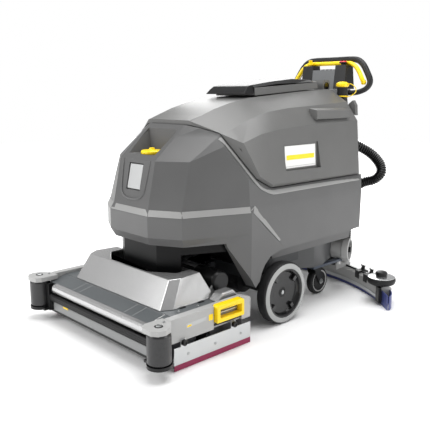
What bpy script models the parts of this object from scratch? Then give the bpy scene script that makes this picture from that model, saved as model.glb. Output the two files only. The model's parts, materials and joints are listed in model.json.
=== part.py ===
"""Walk-behind wet dry floor scrubber with a twin roller brush head, in metres, +Z up.

The machine is laid out with x = 0 on its plane of symmetry, y = 0 on the drive wheels' axle and z = 0 on the
floor, and its front faces -Y. In the end the origin is then the bottom centre of its box.
"""

import math

import bmesh
import bpy
from mathutils import Matrix, Vector

GAP = 0.0006
FLOOR_GAP = 0.0006

# Drive wheels
WHEEL_RADIUS = 0.130
WHEEL_OUTER_X = 0.367
WHEEL_WIDTH = 0.055
AXLE_RADIUS = 0.026

# Swivel casters
CASTER_X = 0.215
CASTER_SWIVEL_Y = 0.375
CASTER_WHEEL_Y = 0.410
CASTER_RADIUS = 0.064
CASTER_WIDTH = 0.036

# Lower body
BODY_SIDE_X = 0.340
BODY_REAR_Y = 0.600
BELT_LOW_Z = 0.487
BELT_TOP_Z = 0.514
SIDE_EDGE_Z = 0.313
DECK_Z = 0.566
SIDE_CORNER_Y = -0.186
TUB_X = 0.285
TUB_Z = 0.262
BAY_X = 0.265
BAY_FRONT_Y = 0.015
BAY_REAR_Y = 0.545
BAY_FLOOR_Z = 0.276
CUP_Z = 0.706
CAP_Y = -0.398
EMBLEM_HALF_X = 0.044
EMBLEM_OUTLINE = [(-0.600, 0.574), (-0.600, 0.676), (-0.468, 0.676), (-0.490, 0.574)]
NECK_FRONT_Y = -0.468
NECK_LOW_Z = 0.258
UNDERBODY_LOW_Z = 0.160

# Seam between the lower body and the waste water tank: (y, z, half width of the shell there)
SEAM = [
    (-0.345, 0.832, 0.150),
    (-0.262, 0.789, 0.252),
    (-0.127, 0.609, 0.319),
    (-0.045, 0.566, 0.327),
    (0.680, 0.566, 0.331),
]

# Tank sections: (y, top crease x and z, upper crease x and z, lower crease x and z, half width at the seam)
TANK_SECTIONS = [
    (-0.311, 0.120, 0.836, 0.131, 0.833, 0.134, 0.820, 0.140),
    (-0.255, 0.130, 0.853, 0.240, 0.790, 0.256, 0.765, 0.262),
    (-0.190, 0.130, 0.876, 0.242, 0.806, 0.294, 0.752, 0.318),
    (-0.100, 0.130, 0.900, 0.242, 0.838, 0.302, 0.782, 0.326),
    (0.010, 0.130, 0.919, 0.242, 0.865, 0.304, 0.797, 0.330),
    (0.130, 0.130, 0.929, 0.242, 0.877, 0.305, 0.805, 0.331),
    (0.330, 0.130, 0.944, 0.242, 0.888, 0.305, 0.813, 0.331),
    (0.560, 0.130, 0.957, 0.240, 0.899, 0.302, 0.815, 0.328),
    (0.596, 0.128, 0.950, 0.222, 0.888, 0.276, 0.812, 0.300),
]
TANK_HINGE = (-0.318, 0.0, 0.562)
MOUTH_X = 0.085
MOUTH_Y = (0.080, 0.430)
LABEL_X = 0.3065
SOCKET_OUTLINE = [(0.536, 0.940), (0.590, 0.940), (0.590, 0.990), (0.580, 1.000), (0.542, 1.000)]
LABEL_OUTLINE = [(0.022, 0.735), (0.253, 0.738), (0.266, 0.626), (0.038, 0.628)]
DRAIN_X = 0.176
DRAIN_TOP_Z = 0.966
DRAIN_RADIUS = 0.0245

# Lid
LID_FRONT_Y = 0.0
LID_REAR_Y = 0.498
LID_HALF_X = 0.120
LID_LOW_Z = 0.9275
LID_HINGE = (0.0, 0.503, 0.967)

# Column, console and handle
COLUMN_HALF_X = 0.135
HANDLE_RADIUS = 0.0125
LEVER_RADIUS = 0.009
DRIVE_LEVER_PIVOT = (0.0, 0.748, 0.990)
SQUEEGEE_LEVER_PIVOT = (-0.144, 0.690, 0.760)
SUCTION_PIPE_X = 0.160
SUCTION_PIPE_Y = 0.692
SUCTION_PIPE_Z = 0.690
HOSE_RADIUS = 0.026
FILTER_START = (0.222, 0.535, 0.2005)
FILTER_AXIS = (0.93, 0.3676, 0.0)

# Brush head
BRUSH_RADIUS = 0.070
BRUSH_Z = BRUSH_RADIUS + FLOOR_GAP
BRUSH_FRONT_Y = -0.560
BRUSH_REAR_Y = -0.372
HEAD_HALF_X = 0.364
HEAD_TOP_Z = 0.178
HEAD_FRONT_Y = -0.672
HEAD_REAR_Y = -0.262
SIDE_PLATE_X = 0.3962
GUARD_X = 0.4015
CORNER_ROLLER = (0.402, -0.697)
CORNER_ROLLER_RADIUS = 0.042
ARM_CHASSIS_PIVOT = (0.0, -0.190, 0.236)
ARM_HEAD_PIVOT = (0.0, -0.300, 0.208)
LINK_RISE = 0.032

# Squeegee, laid out straight behind its pivot and then swung to the machine's left
SQUEEGEE_PIVOT = (0.0, -0.075)
SQUEEGEE_SWING = math.radians(-14.0)
BLADE_ARC_CENTRE = -0.152
BLADE_ARC_RADIUS = 0.904
BLADE_SPACING = 0.034
BUMPER_RADIUS = 0.064
BUMPER_X = 0.3345
BUMPER_Y = 0.6966
BUMPER_Z = 0.106
BEAM_HALF_DEGREES = 24
FRONT_BLADE_HALF_DEGREES = 29
BLADE_HALF_DEGREES = 29
GUIDE_Y = 0.676
NOZZLE_Y = 0.777
NOZZLE_TOP_Z = 0.140
CUFF_Z = (0.285, 0.305)

scene = bpy.context.scene
for old in list(bpy.data.objects):
    bpy.data.objects.remove(old)


def finish(name, colour, roughness, metallic=0.0):
    """A Principled material; the colour is linear RGB."""
    material = bpy.data.materials.new(name)
    material.use_nodes = True
    shader = material.node_tree.nodes["Principled BSDF"]
    shader.inputs["Base Color"].default_value = (*colour, 1.0)
    shader.inputs["Roughness"].default_value = roughness
    shader.inputs["Metallic"].default_value = metallic
    material.diffuse_color = (*colour, 1.0)
    return material


def mesh_object(name, vertices, faces, material):
    """A closed mesh with its faces turned outwards."""
    mesh = bpy.data.meshes.new(name)
    mesh.from_pydata([tuple(vertex) for vertex in vertices], [], faces)
    shell = bmesh.new()
    shell.from_mesh(mesh)
    bmesh.ops.recalc_face_normals(shell, faces=shell.faces)
    shell.to_mesh(mesh)
    shell.free()
    if material:
        mesh.materials.append(material)
    obj = bpy.data.objects.new(name, mesh)
    scene.collection.objects.link(obj)
    return obj


def loft(name, rings, material):
    """A solid through rings with the same number of points each, closed by its first and last rings."""
    count = len(rings[0])
    vertices = [point for ring in rings for point in ring]
    faces = [list(range(count)), [len(vertices) - count + k for k in range(count)]]
    for start in range(0, len(vertices) - count, count):
        for k in range(count):
            after = (k + 1) % count
            faces.append([start + k, start + after, start + count + after, start + count + k])
    return mesh_object(name, vertices, faces, material)


def prism(name, outline, axis, low, high, material):
    """An outline in the plane across X, Y or Z, carried from low to high along that axis."""
    place = "XYZ".index(axis)
    rings = []
    for level in (low, high):
        ring = []
        for a, b in outline:
            point = [a, b]
            point.insert(place, level)
            ring.append(point)
        rings.append(ring)
    return loft(name, rings, material)


def block(name, low, high, material):
    return prism(name, [(low[0], low[1]), (high[0], low[1]), (high[0], high[1]), (low[0], high[1])],
                 "Z", low[2], high[2], material)


def turned(name, profile, centre, axis, material, steps=24, flat_down=False):
    """A profile of (radius, distance along the axis) turned about the axis.

    With flat_down, the facets lie outside the circle and one faces straight down, so a wheel stands on it.

    A profile that starts and ends on the axis is closed by its poles. Any other is a closed ring section.
    """
    axis = Vector(axis).normalized()
    side = axis.cross((0, 0, 1)) if abs(axis.z) < 0.9 else Vector((1, 0, 0))
    side.normalize()
    other = axis.cross(side)
    first = math.pi / steps if flat_down else 0.0
    grow = 1 / math.cos(math.pi / steps) if flat_down else 1.0
    vertices, rings = [], []
    for radius, along in profile:
        spot = Vector(centre) + axis * along
        if radius == 0:
            rings.append([len(vertices)] * steps)
            vertices.append(spot)
            continue
        rings.append([len(vertices) + k for k in range(steps)])
        for k in range(steps):
            angle = first + 2 * math.pi * k / steps
            vertices.append(spot + (side * math.cos(angle) + other * math.sin(angle)) * radius * grow)
    if profile[0][0] != 0:
        rings.append(rings[0])
    faces = []
    for low, high in zip(rings, rings[1:]):
        for k in range(steps):
            after = (k + 1) % steps
            corners = [low[k], low[after], high[after], high[k]]
            faces.append(list(dict.fromkeys(corners)))
    return smooth(mesh_object(name, vertices, faces, material))


def cylinder(name, start, end, radius, material, steps=16):
    start, end = Vector(start), Vector(end)
    length = (end - start).length
    profile = [(0, 0), (radius, 0), (radius, length), (0, length)]
    return turned(name, profile, start, end - start, material, steps)


def smooth_route(points, count):
    """count points on a Catmull-Rom curve through the given points."""
    points = [Vector(point) for point in points]
    knots = [points[0] * 2 - points[1], *points, points[-1] * 2 - points[-2]]
    route = []
    for step in range(count):
        place = step / (count - 1) * (len(points) - 1)
        k = min(int(place), len(points) - 2)
        t = place - k
        a, b, c, d = knots[k:k + 4]
        route.append((b * 2 + (c - a) * t + (a * 2 - b * 5 + c * 4 - d) * t ** 2
                      + (b * 3 - a - c * 3 + d) * t ** 3) / 2)
    return route


def tube(name, points, radius, material, cyclic=False, sides=2):
    """A round bar along a line of points, with flat ends."""
    curve = bpy.data.curves.new(name, "CURVE")
    curve.dimensions = "3D"
    spline = curve.splines.new("POLY")
    spline.points.add(len(points) - 1)
    for knot, point in zip(spline.points, points):
        knot.co = (*point, 1.0)
    spline.use_cyclic_u = cyclic
    curve.bevel_depth = radius
    curve.bevel_resolution = sides
    curve.use_fill_caps = True
    curve.materials.append(material)
    obj = bpy.data.objects.new(name, curve)
    scene.collection.objects.link(obj)
    return obj


def solid_tube(name, points, radius, material, sides=10):
    """The same round bar as a mesh, which a Boolean can take."""
    points = [Vector(point) for point in points]
    rings = []
    across = None
    for k, point in enumerate(points):
        along = (points[min(k + 1, len(points) - 1)] - points[max(k - 1, 0)]).normalized()
        across = (across - along * across.dot(along)) if across else along.orthogonal()
        across.normalize()
        other = along.cross(across)
        angles = [2 * math.pi * n / sides for n in range(sides)]
        rings.append([point + (across * math.cos(a) + other * math.sin(a)) * radius for a in angles])
    return smooth(loft(name, rings, material))


def smooth(obj):
    obj.data.shade_smooth()
    obj.data.set_sharp_from_angle(angle=math.radians(35))
    return obj


def combine(obj, operation, others):
    """Boolean modifiers with helper objects, which the build leaves out."""
    for other in others:
        other.hide_render = True
        other.display_type = "WIRE"
        modifier = obj.modifiers.new(other.name, "BOOLEAN")
        modifier.operation = operation
        modifier.object = other
        modifier.solver = "EXACT"
    return obj


def cut(obj, *others):
    return combine(obj, "DIFFERENCE", others)


def join(obj, *others):
    return combine(obj, "UNION", others)


def origin_at(obj, point):
    """Moves the object's origin onto its joint, and leaves its shape where it is."""
    obj.data.transform(Matrix.Translation(-Vector(point)))
    obj.location = point
    return obj


TO_SWUNG = Matrix.Translation((*SQUEEGEE_PIVOT, 0)) @ Matrix.Rotation(SQUEEGEE_SWING, 4, "Z")


def swung(point):
    """A point laid out straight behind the squeegee's pivot, moved to where the squeegee rests."""
    return TO_SWUNG @ Vector(point)


def swing(obj):
    obj.data.transform(TO_SWUNG)
    return obj


def mirrored(points):
    """A ring from its half on the +X side, given from front to back."""
    return list(points) + [(-point[0], *point[1:]) for point in reversed(points)]


BODY_GREY = finish("body_grey_plastic", (0.165, 0.165, 0.160), 0.45)
TANK_GREY = finish("tank_grey_plastic", (0.205, 0.205, 0.200), 0.45)
LIGHT_GREY = finish("light_grey_plastic", (0.55, 0.55, 0.54), 0.4)
SILVER = finish("silver_cover_plastic", (0.60, 0.60, 0.60), 0.3)
DARK_GREY = finish("dark_grey_plastic", (0.06, 0.06, 0.063), 0.45)
BLACK = finish("black_plastic", (0.012, 0.012, 0.012), 0.35)
RUBBER = finish("black_rubber", (0.02, 0.02, 0.02), 0.8)
YELLOW = finish("yellow_plastic", (1.0, 0.68, 0.0), 0.35)
STEEL = finish("zinc_plated_steel", (0.45, 0.45, 0.45), 0.35, 1.0)
FRAME_PAINT = finish("black_painted_steel", (0.02, 0.02, 0.022), 0.4)
ALUMINIUM = finish("extruded_aluminium", (0.62, 0.62, 0.62), 0.35, 1.0)
CRIMSON = finish("crimson_rubber", (0.20, 0.006, 0.045), 0.6)
BLUE = finish("blue_rubber", (0.07, 0.085, 0.24), 0.6)
RED = finish("red_plastic", (0.6, 0.01, 0.01), 0.35)
BRISTLE = finish("white_bristle", (0.55, 0.55, 0.52), 0.8)


def body_ring(z, front, corner, proud_y, inset, side_x, rear_y):
    """One level of the lower body: front edge, front corner, side corner, the diagonal step and the rear.

    The step runs from the side corner down to the sill. Ahead of it the side is proud by inset.
    """
    half = [
        (*front, z),
        (*corner, z),
        (side_x, SIDE_CORNER_Y, z),
        (side_x, proud_y, z),
        (side_x - inset, proud_y + 0.012, z),
        (min(side_x - inset, 0.334), rear_y - 0.030, z),
        (0.302, rear_y, z),
    ]
    return mirrored(half)


def seam_side(name, upper, lift, drop):
    """The space above the seam, or all that lies below and ahead of it.

    The seam line is carried from side to side. Outside the shell's half width it moves by drop, which cuts a
    chamfer along the outer edge.
    """
    def line_at(side, reach, shift, outer_x=None):
        line = []
        for k, (y, z, half) in enumerate(SEAM):
            before, after = SEAM[max(k - 1, 0)], SEAM[min(k + 1, len(SEAM) - 1)]
            along = Vector((after[0] - before[0], after[1] - before[1])).normalized()
            moved = Vector((y, z)) + Vector((-along.y, along.x)) * (lift + shift)
            line.append((outer_x or side * (half + reach), moved.x, moved.y))
        x = outer_x or line[-1][0]
        closing = [(0.72, 1.30), (-0.36, 1.30)] if upper else [(0.72, 0.0), (-0.72, 0.0), (-0.72, 0.832)]
        return line + [(x, y, z) for y, z in closing]

    rings = [
        line_at(-1, 0.040, drop, -0.50),
        line_at(-1, 0.040, drop),
        line_at(-1, -0.014, 0),
        line_at(1, -0.014, 0),
        line_at(1, 0.040, drop),
        line_at(1, 0.040, drop, 0.50),
    ]
    return loft(name, rings, None)


def make_lower_body():
    levels = [
        body_ring(0.170, (0.110, -0.497), (0.228, -0.434), 0.016, 0.0, BODY_SIDE_X, 0.594),
        body_ring(SIDE_EDGE_Z, (0.110, -0.497), (0.228, -0.434), 0.016, 0.0, BODY_SIDE_X, 0.597),
        body_ring(0.378, (0.113, -0.503), (0.232, -0.440), -0.059, 0.003, BODY_SIDE_X, 0.599),
        body_ring(0.408, (0.120, -0.520), (0.240, -0.453), -0.094, 0.0045, BODY_SIDE_X, 0.600),
        body_ring(BELT_LOW_Z, (0.120, -0.520), (0.240, -0.453), -0.178, 0.008, BODY_SIDE_X, 0.604),
        body_ring(BELT_TOP_Z, (0.110, -0.508), (0.230, -0.444), -0.172, 0.0, 0.329, 0.606),
        body_ring(0.600, (0.110, -0.489), (0.226, -0.420), -0.150, 0.0, 0.323, 0.606),
        body_ring(0.690, (0.110, -0.470), (0.220, -0.395), -0.140, 0.0, 0.314, 0.600),
        body_ring(0.775, (0.110, -0.372), (0.238, -0.270), -0.120, 0.0, 0.296, 0.590),
        body_ring(0.850, (0.110, -0.284), (0.250, -0.210), -0.090, 0.0, 0.270, 0.580),
    ]
    body = loft("lower_body", levels, BODY_GREY)
    sill = [
        (-0.60, 0.10), (-0.60, 0.377), (-0.283, 0.377), (-0.278, 0.363), (-0.159, 0.184), (-0.135, 0.205),
        (-0.123, 0.241), (-0.105, 0.268), (-0.071, 0.297), (-0.009, SIDE_EDGE_Z), (0.470, SIDE_EDGE_Z),
        (0.520, 0.318), (0.700, 0.322), (0.700, 0.10),
    ]
    middle = [(-0.60, 0.10), (-0.60, 0.377), (-0.03, 0.377), (0.0, TUB_Z), (0.56, TUB_Z), (0.57, 0.322),
              (0.70, 0.322), (0.70, 0.10)]
    under = [prism(f"under_side_{side}", sill, "X", side * TUB_X, side * 0.50, None) for side in (-1, 1)]
    under.append(prism("under_middle", middle, "X", -TUB_X - 0.001, TUB_X + 0.001, None))
    bay = block("battery_bay", (-BAY_X, BAY_FRONT_Y, BAY_FLOOR_Z), (BAY_X, BAY_REAR_Y, 0.70), None)
    cup = loft("filler_cup", [
        [(-0.078, -0.447, CUP_Z), (0.078, -0.447, CUP_Z), (0.062, -0.352, CUP_Z), (-0.062, -0.352, CUP_Z)],
        [(-0.100, -0.475, 0.722), (0.100, -0.475, 0.722), (0.090, -0.340, 0.792), (-0.090, -0.340, 0.792)],
        [(-0.100, -0.520, 0.870), (0.100, -0.520, 0.870), (0.090, -0.340, 0.870), (-0.090, -0.340, 0.870)],
    ], None)
    chamber = loft("water_chamber", [
        *[mirrored([(0.104, -0.490, z), (0.218, -0.425, z), (0.308, -0.180, z), (0.308, -0.045, z)])
          for z in (0.395, 0.545)],
        mirrored([(0.085, -0.445, 0.680), (0.190, -0.380, 0.680), (0.260, -0.250, 0.680),
                  (0.260, -0.228, 0.680)]),
    ], None)
    filler = cylinder("filler_hole", (0, CAP_Y, 0.640), (0, CAP_Y, 0.740), 0.028, None, 20)
    emblem = prism("emblem_seat", EMBLEM_OUTLINE, "X", -EMBLEM_HALF_X, EMBLEM_HALF_X, None)
    above = seam_side("above_seam", True, 0.0, -0.080)
    cut(body, *under, above, bay, cup, chamber, filler, emblem)


def make_body_parts():
    make_lower_body()
    profile = [(0, -0.030), (0.026, -0.030), (0.026, GAP), (0.043, GAP), (0.044, 0.010), (0.040, 0.015),
               (0.012, 0.016), (0.010, 0.024), (0, 0.025)]
    cap = turned("water_fill_cap", profile, (0, CAP_Y, CUP_Z), (0, 0, 1), YELLOW, 24)
    origin_at(cap, (0, CAP_Y, CUP_Z))
    wall = [
        mirrored([(0.105, NECK_FRONT_Y, z), (0.190, -0.418, z), (0.2845, -0.216, z)])
        for z in (0.335, 0.377 - GAP)
    ]
    skirt = loft("front_skirt", wall, BLACK)
    inner = loft("skirt_inside", [
        mirrored([(0.100, NECK_FRONT_Y + 0.010, z), (0.182, -0.409, z), (0.2775, -0.210, z),
                  (0.2775, -0.10, z)])
        for z in (0.30, 0.40)
    ], None)
    low = prism("skirt_front", [(-0.190, -0.418), (-0.105, NECK_FRONT_Y), (0.105, NECK_FRONT_Y),
                                (0.190, -0.418),
                                (0.183, -0.408), (0.101, NECK_FRONT_Y + 0.011),
                                (-0.101, NECK_FRONT_Y + 0.011),
                                (-0.183, -0.408)], "Z", NECK_LOW_Z, 0.345, None)
    cut(skirt, inner)
    join(skirt, low)
    across = Vector((FILTER_AXIS[1], -FILTER_AXIS[0]))
    seat = Vector(FILTER_START[:2]) - Vector(FILTER_AXIS[:2]) * (0.010 + GAP)
    corner = [seat - across * ((seat.y - 0.525) / across.y), seat + across * ((0.275 - seat.x) / across.x)]
    half = [(0.275, 0.300), (0.220, 0.205)]
    plan = [*map(tuple, corner), *half, *[(-x, y) for x, y in reversed(half)], (-0.275, 0.525)]
    prism("rear_underbody", plan, "Z", UNDERBODY_LOW_Z, TUB_Z - GAP, LIGHT_GREY)
    block("battery_pack", (0.004 - BAY_X, BAY_FRONT_Y + 0.004, BAY_FLOOR_Z + GAP),
          (BAY_X - 0.004, BAY_REAR_Y - 0.010, 0.545), DARK_GREY)


def make_frame():
    """Rails under the body with the axle brackets, the lift arms' ears and the squeegee's pivot post."""
    rail = block("chassis_frame", (-0.262, -0.172, 0.215), (0.262, -0.136, 0.2615), FRAME_PAINT)
    parts = []
    for side in (-1, 1):
        low_x, high_x = sorted((side * 0.232, side * 0.262))
        parts.append(block(f"rail_{side}", (low_x, -0.140, 0.215), (high_x, 0.2045, 0.2610), None))
        parts.append(block(f"axle_bracket_{side}", (low_x, -0.035, 0.1565), (high_x, 0.035, 0.220), None))
        for inner in (0.088, 0.113):
            low_x, high_x = sorted((side * inner, side * (inner + 0.008)))
            parts.append(block(f"ear_{side}_{inner}", (low_x, -0.202, 0.222), (high_x, -0.165, 0.250), None))
    parts.append(block("link_post", (-0.030, -0.172, 0.255), (0.030, -0.150, 0.284), None))
    for side in (-1, 1):
        low_x, high_x = sorted((side * 0.0125, side * 0.0205))
        parts.append(block(f"link_ear_{side}", (low_x, -0.202, 0.256), (high_x, -0.160, 0.282), None))
    parts.append(block("squeegee_post", (-0.030, -0.140, 0.036), (0.030, -0.110, 0.230), None))
    parts.append(block("squeegee_post_foot", (-0.030, -0.125, 0.036), (0.030, -0.040, 0.0465), None))
    join(rail, *parts)
    unit = turned("drive_unit", [(0, -0.3105), (AXLE_RADIUS, -0.3105), (AXLE_RADIUS, -0.140),
                                 (0.050, -0.132),
                                 (0.052, -0.120), (0.052, 0.120), (0.050, 0.132), (AXLE_RADIUS, 0.140),
                                 (AXLE_RADIUS, 0.3105), (0, 0.3105)], (0, 0, WHEEL_RADIUS), (1, 0, 0),
                                 FRAME_PAINT, 20)
    unit.data.materials[0] = DARK_GREY


def make_drive_wheels():
    half = WHEEL_WIDTH / 2
    middle = WHEEL_OUTER_X - half
    rim = 0.096
    tyre = [
        (rim + GAP, -half + 0.003), (rim + GAP, half - 0.006), (0.103, half - 0.001), (0.112, half),
        (0.123, half - 0.003),
        (0.1285, half - 0.008), (WHEEL_RADIUS, half - 0.014), (WHEEL_RADIUS, -half + 0.014),
        (0.1285, -half + 0.008),
        (0.112, -half),
    ]
    hub = [
        (0, -half + 0.002), (rim, -half + 0.002), (rim, half - 0.005), (0.092, half - 0.005),
        (0.088, half - 0.022),
        (0.030, half - 0.026), (0.016, half - 0.025), (0.013, half - 0.016), (0, half - 0.013),
    ]
    for side, word in ((1, "left"), (-1, "right")):
        centre = (side * middle, 0, WHEEL_RADIUS)
        origin_at(turned(f"drive_tyre_{word}", tyre, centre, (side, 0, 0), RUBBER, 36, True), centre)
        origin_at(turned(f"drive_hub_{word}", hub, centre, (side, 0, 0), BLACK, 30), centre)


def make_casters():
    half = CASTER_WIDTH / 2
    wheel_z = CASTER_RADIUS
    tyre = [
        (0.0068, -half), (0.0068, half), (0.020, half), (0.040, half - 0.006), (0.050, half - 0.001),
        (0.0600, half - 0.003),
        (CASTER_RADIUS, half - 0.010), (CASTER_RADIUS, -half + 0.010), (0.0600, -half + 0.003),
        (0.050, -half + 0.001),
        (0.040, -half + 0.006), (0.020, -half),
    ]
    for side, word in ((1, "left"), (-1, "right")):
        x = side * CASTER_X
        swivel = (x, CASTER_SWIVEL_Y, wheel_z)
        fork = block(f"caster_fork_{word}", (x - 0.027, CASTER_SWIVEL_Y - 0.028, 0.1335),
                     (x + 0.027, CASTER_SWIVEL_Y + 0.028, 0.1400), FRAME_PAINT)
        leg = [(CASTER_SWIVEL_Y - 0.020, 0.137), (CASTER_WHEEL_Y - 0.012, 0.060), (CASTER_WHEEL_Y, 0.051),
               (CASTER_WHEEL_Y + 0.012, 0.060), (CASTER_SWIVEL_Y + 0.028, 0.137)]
        parts = [prism(f"leg_{word}_{low}", leg, "X", x + low, x + low + 0.004, None) for low in (-0.025,
                                                                                                  0.021)]
        parts.append(cylinder(f"caster_pin_{word}", (x - 0.030, CASTER_WHEEL_Y, wheel_z),
                              (x + 0.030, CASTER_WHEEL_Y, wheel_z), 0.006, None, 12))
        parts.append(cylinder(f"swivel_stem_{word}", (x, CASTER_SWIVEL_Y, 0.137),
                              (x, CASTER_SWIVEL_Y, UNDERBODY_LOW_Z - GAP), 0.020, None, 20))
        join(fork, *parts)
        origin_at(fork, swivel)
        wheel = turned(f"caster_wheel_{word}", tyre, (x, CASTER_WHEEL_Y, wheel_z), (1, 0, 0), RUBBER, 28,
                       True)
        origin_at(wheel, (x, CASTER_WHEEL_Y, wheel_z))


def tank_ring(section, inset=0.0, floor=0.535):
    """One section of the tank across its length; inset gives the inner wall."""
    y, top_x, top_z, upper_x, upper_z, lower_x, lower_z, side_x = section
    half = [
        (side_x - inset, y, floor),
        (side_x * 0.45 + lower_x * 0.55 - inset, y, floor * 0.45 + lower_z * 0.55),
        (lower_x - inset, y, lower_z - inset * 0.4),
        (upper_x - inset * 0.7, y, upper_z - inset * 0.8),
        (top_x - inset * 0.3, y, top_z - inset),
    ]
    return mirrored(half)


def make_grip(side):
    """The grip bar along the tank's shoulder, with a finger gap between its two feet."""
    outline = [(0.262, 0.874), (0.300, 0.869), (0.306, 0.864), (0.306, 0.831), (0.298, 0.828),
               (0.262, 0.845)]
    grip = prism(f"grip_{side}", [(side * x, z) for x, z in outline], "Y", 0.250, 0.492, None)
    gap = [(side * 0.296, 0.857), (side * 0.296, 0.800), (side * 0.250, 0.800), (side * 0.250, 0.857)]
    cut(grip, prism(f"grip_gap_{side}", gap, "Y", 0.275, 0.478, None))
    return grip


def make_waste_tank():
    tank = loft("waste_tank", [tank_ring(section) for section in TANK_SECTIONS], TANK_GREY)
    inside = [tank_ring(section, 0.012, 0.45) for section in TANK_SECTIONS[1:-1]]
    hollow = loft("tank_hollow", inside, None)
    cut(hollow, seam_side("hollow_floor", False, 0.020, 0.0))
    mouth = block("tank_mouth", (-MOUTH_X, MOUTH_Y[0], 0.80), (MOUTH_X, MOUTH_Y[1], 1.10), None)
    seats = []
    for side in (-1, 1):
        low_x, high_x = sorted((side * LABEL_X, side * 0.40))
        seats.append(prism(f"label_seat_{side}", LABEL_OUTLINE, "X", low_x, high_x, None))
    drain = cylinder("drain_port", (DRAIN_X, 0.540, 0.640), (DRAIN_X, 0.650, 0.640), 0.014, None)
    fin = prism("rear_fin", [(0.236, 0.850), (0.280, 0.838), (0.276, 0.884), (0.262, 0.906), (0.240, 0.890)],
                "Y", 0.575, 0.5955, None)
    socket = prism("socket_block", SOCKET_OUTLINE, "X", 0.066, 0.118, None)
    join(tank, fin, socket, *[make_grip(side) for side in (-1, 1)])
    cut(tank, seam_side("below_seam", False, 0.004, 0.055), hollow, mouth, drain, *seats)
    origin_at(tank, TANK_HINGE)


def make_tank_parts():
    make_waste_tank()
    basket = block("filter_basket", (-0.075, 0.090, 0.780), (0.075, 0.200, 0.905), BLACK)
    cut(basket, block("basket_inside", (-0.071, 0.094, 0.784), (0.071, 0.196, 0.950), None))
    origin_at(basket, TANK_HINGE)
    floater = turned("float_ball", [(0, -0.032), (0.022, -0.024), (0.032, 0.0), (0.022, 0.024), (0, 0.032)],
                     (0, 0.235, 0.740), (0, 0, 1), YELLOW, 16)
    origin_at(floater, (0, 0.235, 0.740))
    route = smooth_route([
        (DRAIN_X, 0.5985, 0.640), (DRAIN_X, 0.618, 0.643), (DRAIN_X, 0.630, 0.672), (DRAIN_X, 0.632, 0.760),
        (DRAIN_X - 0.004, 0.630, 0.860), (DRAIN_X - 0.008, 0.624, 0.925),
        (DRAIN_X - 0.008, 0.624, DRAIN_TOP_Z),
    ], 18)
    drain = tube("drain_hose", route, DRAIN_RADIUS, RUBBER)
    drain.data.transform(Matrix.Translation(-Vector(TANK_HINGE)))
    drain.location = TANK_HINGE
    top = Vector((DRAIN_X - 0.008, 0.624, DRAIN_TOP_Z))
    cap = turned("drain_cap", [(0, 2 * GAP), (0.026, 2 * GAP), (0.0305, 0.006), (0.029, 0.018),
                               (0.018, 0.025), (0, 0.027)],
                 top, (0, 0, 1), YELLOW, 20)
    origin_at(cap, (top.x + 0.034, top.y, top.z))


def make_lid():
    """The lid follows the tank's sloping top: a grey housing with a black cover over it and its front."""
    def across(y, low_z, high_z, low_x, high_x):
        return [(-low_x, y, low_z), (low_x, y, low_z), (high_x, y, high_z), (-high_x, y, high_z)]

    housing = loft("lid_housing", [
        across(0.062, LID_LOW_Z, LID_LOW_Z + 0.034, LID_HALF_X, 0.117),
        across(LID_REAR_Y, 0.9585, 0.990, LID_HALF_X, 0.114),
    ], TANK_GREY)
    cut(housing, loft("lid_inside", [
        across(0.100, 0.900, 0.956, 0.090, 0.088),
        across(0.455, 0.900, 0.980, 0.090, 0.088),
    ], None))
    origin_at(housing, LID_HINGE)
    cover = loft("lid_cover", [
        across(LID_FRONT_Y, 0.9345, 0.938, LID_HALF_X - 0.004, LID_HALF_X - 0.006),
        across(0.018, 0.9350, 0.955, LID_HALF_X, 0.110),
        across(0.034, 0.9355, 0.968, LID_HALF_X, 0.104),
        across(0.060, 0.9375, 0.973, LID_HALF_X, 0.102),
        across(0.061, LID_LOW_Z + 0.0345, 0.973, 0.116, 0.102),
        across(0.200, 0.9772, 0.990, 0.116, 0.100),
        across(0.330, 0.9834, 1.002, 0.115, 0.098),
        across(0.460, 0.9890, 1.000, 0.114, 0.094),
        across(LID_REAR_Y, 0.9907, 0.994, 0.113, 0.090),
    ], BLACK)
    origin_at(cover, LID_HINGE)
    turbine = turned("suction_turbine", [(0.022, 0), (0.066, 0), (0.070, 0.010), (0.070, 0.085),
                                         (0.040, 0.098),
                                         (0.022, 0.098)], (0, 0.335, 0.860), (0, 0, 1), BLACK, 24)
    origin_at(turbine, LID_HINGE)
    impeller = turned("turbine_impeller", [(0, 0.010), (0.019, 0.010), (0.019, 0.050), (0.010, 0.058),
                                           (0, 0.058)],
                      (0, 0.335, 0.860), (0, 0, 1), ALUMINIUM, 16)
    origin_at(impeller, (0, 0.335, 0.860))


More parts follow.
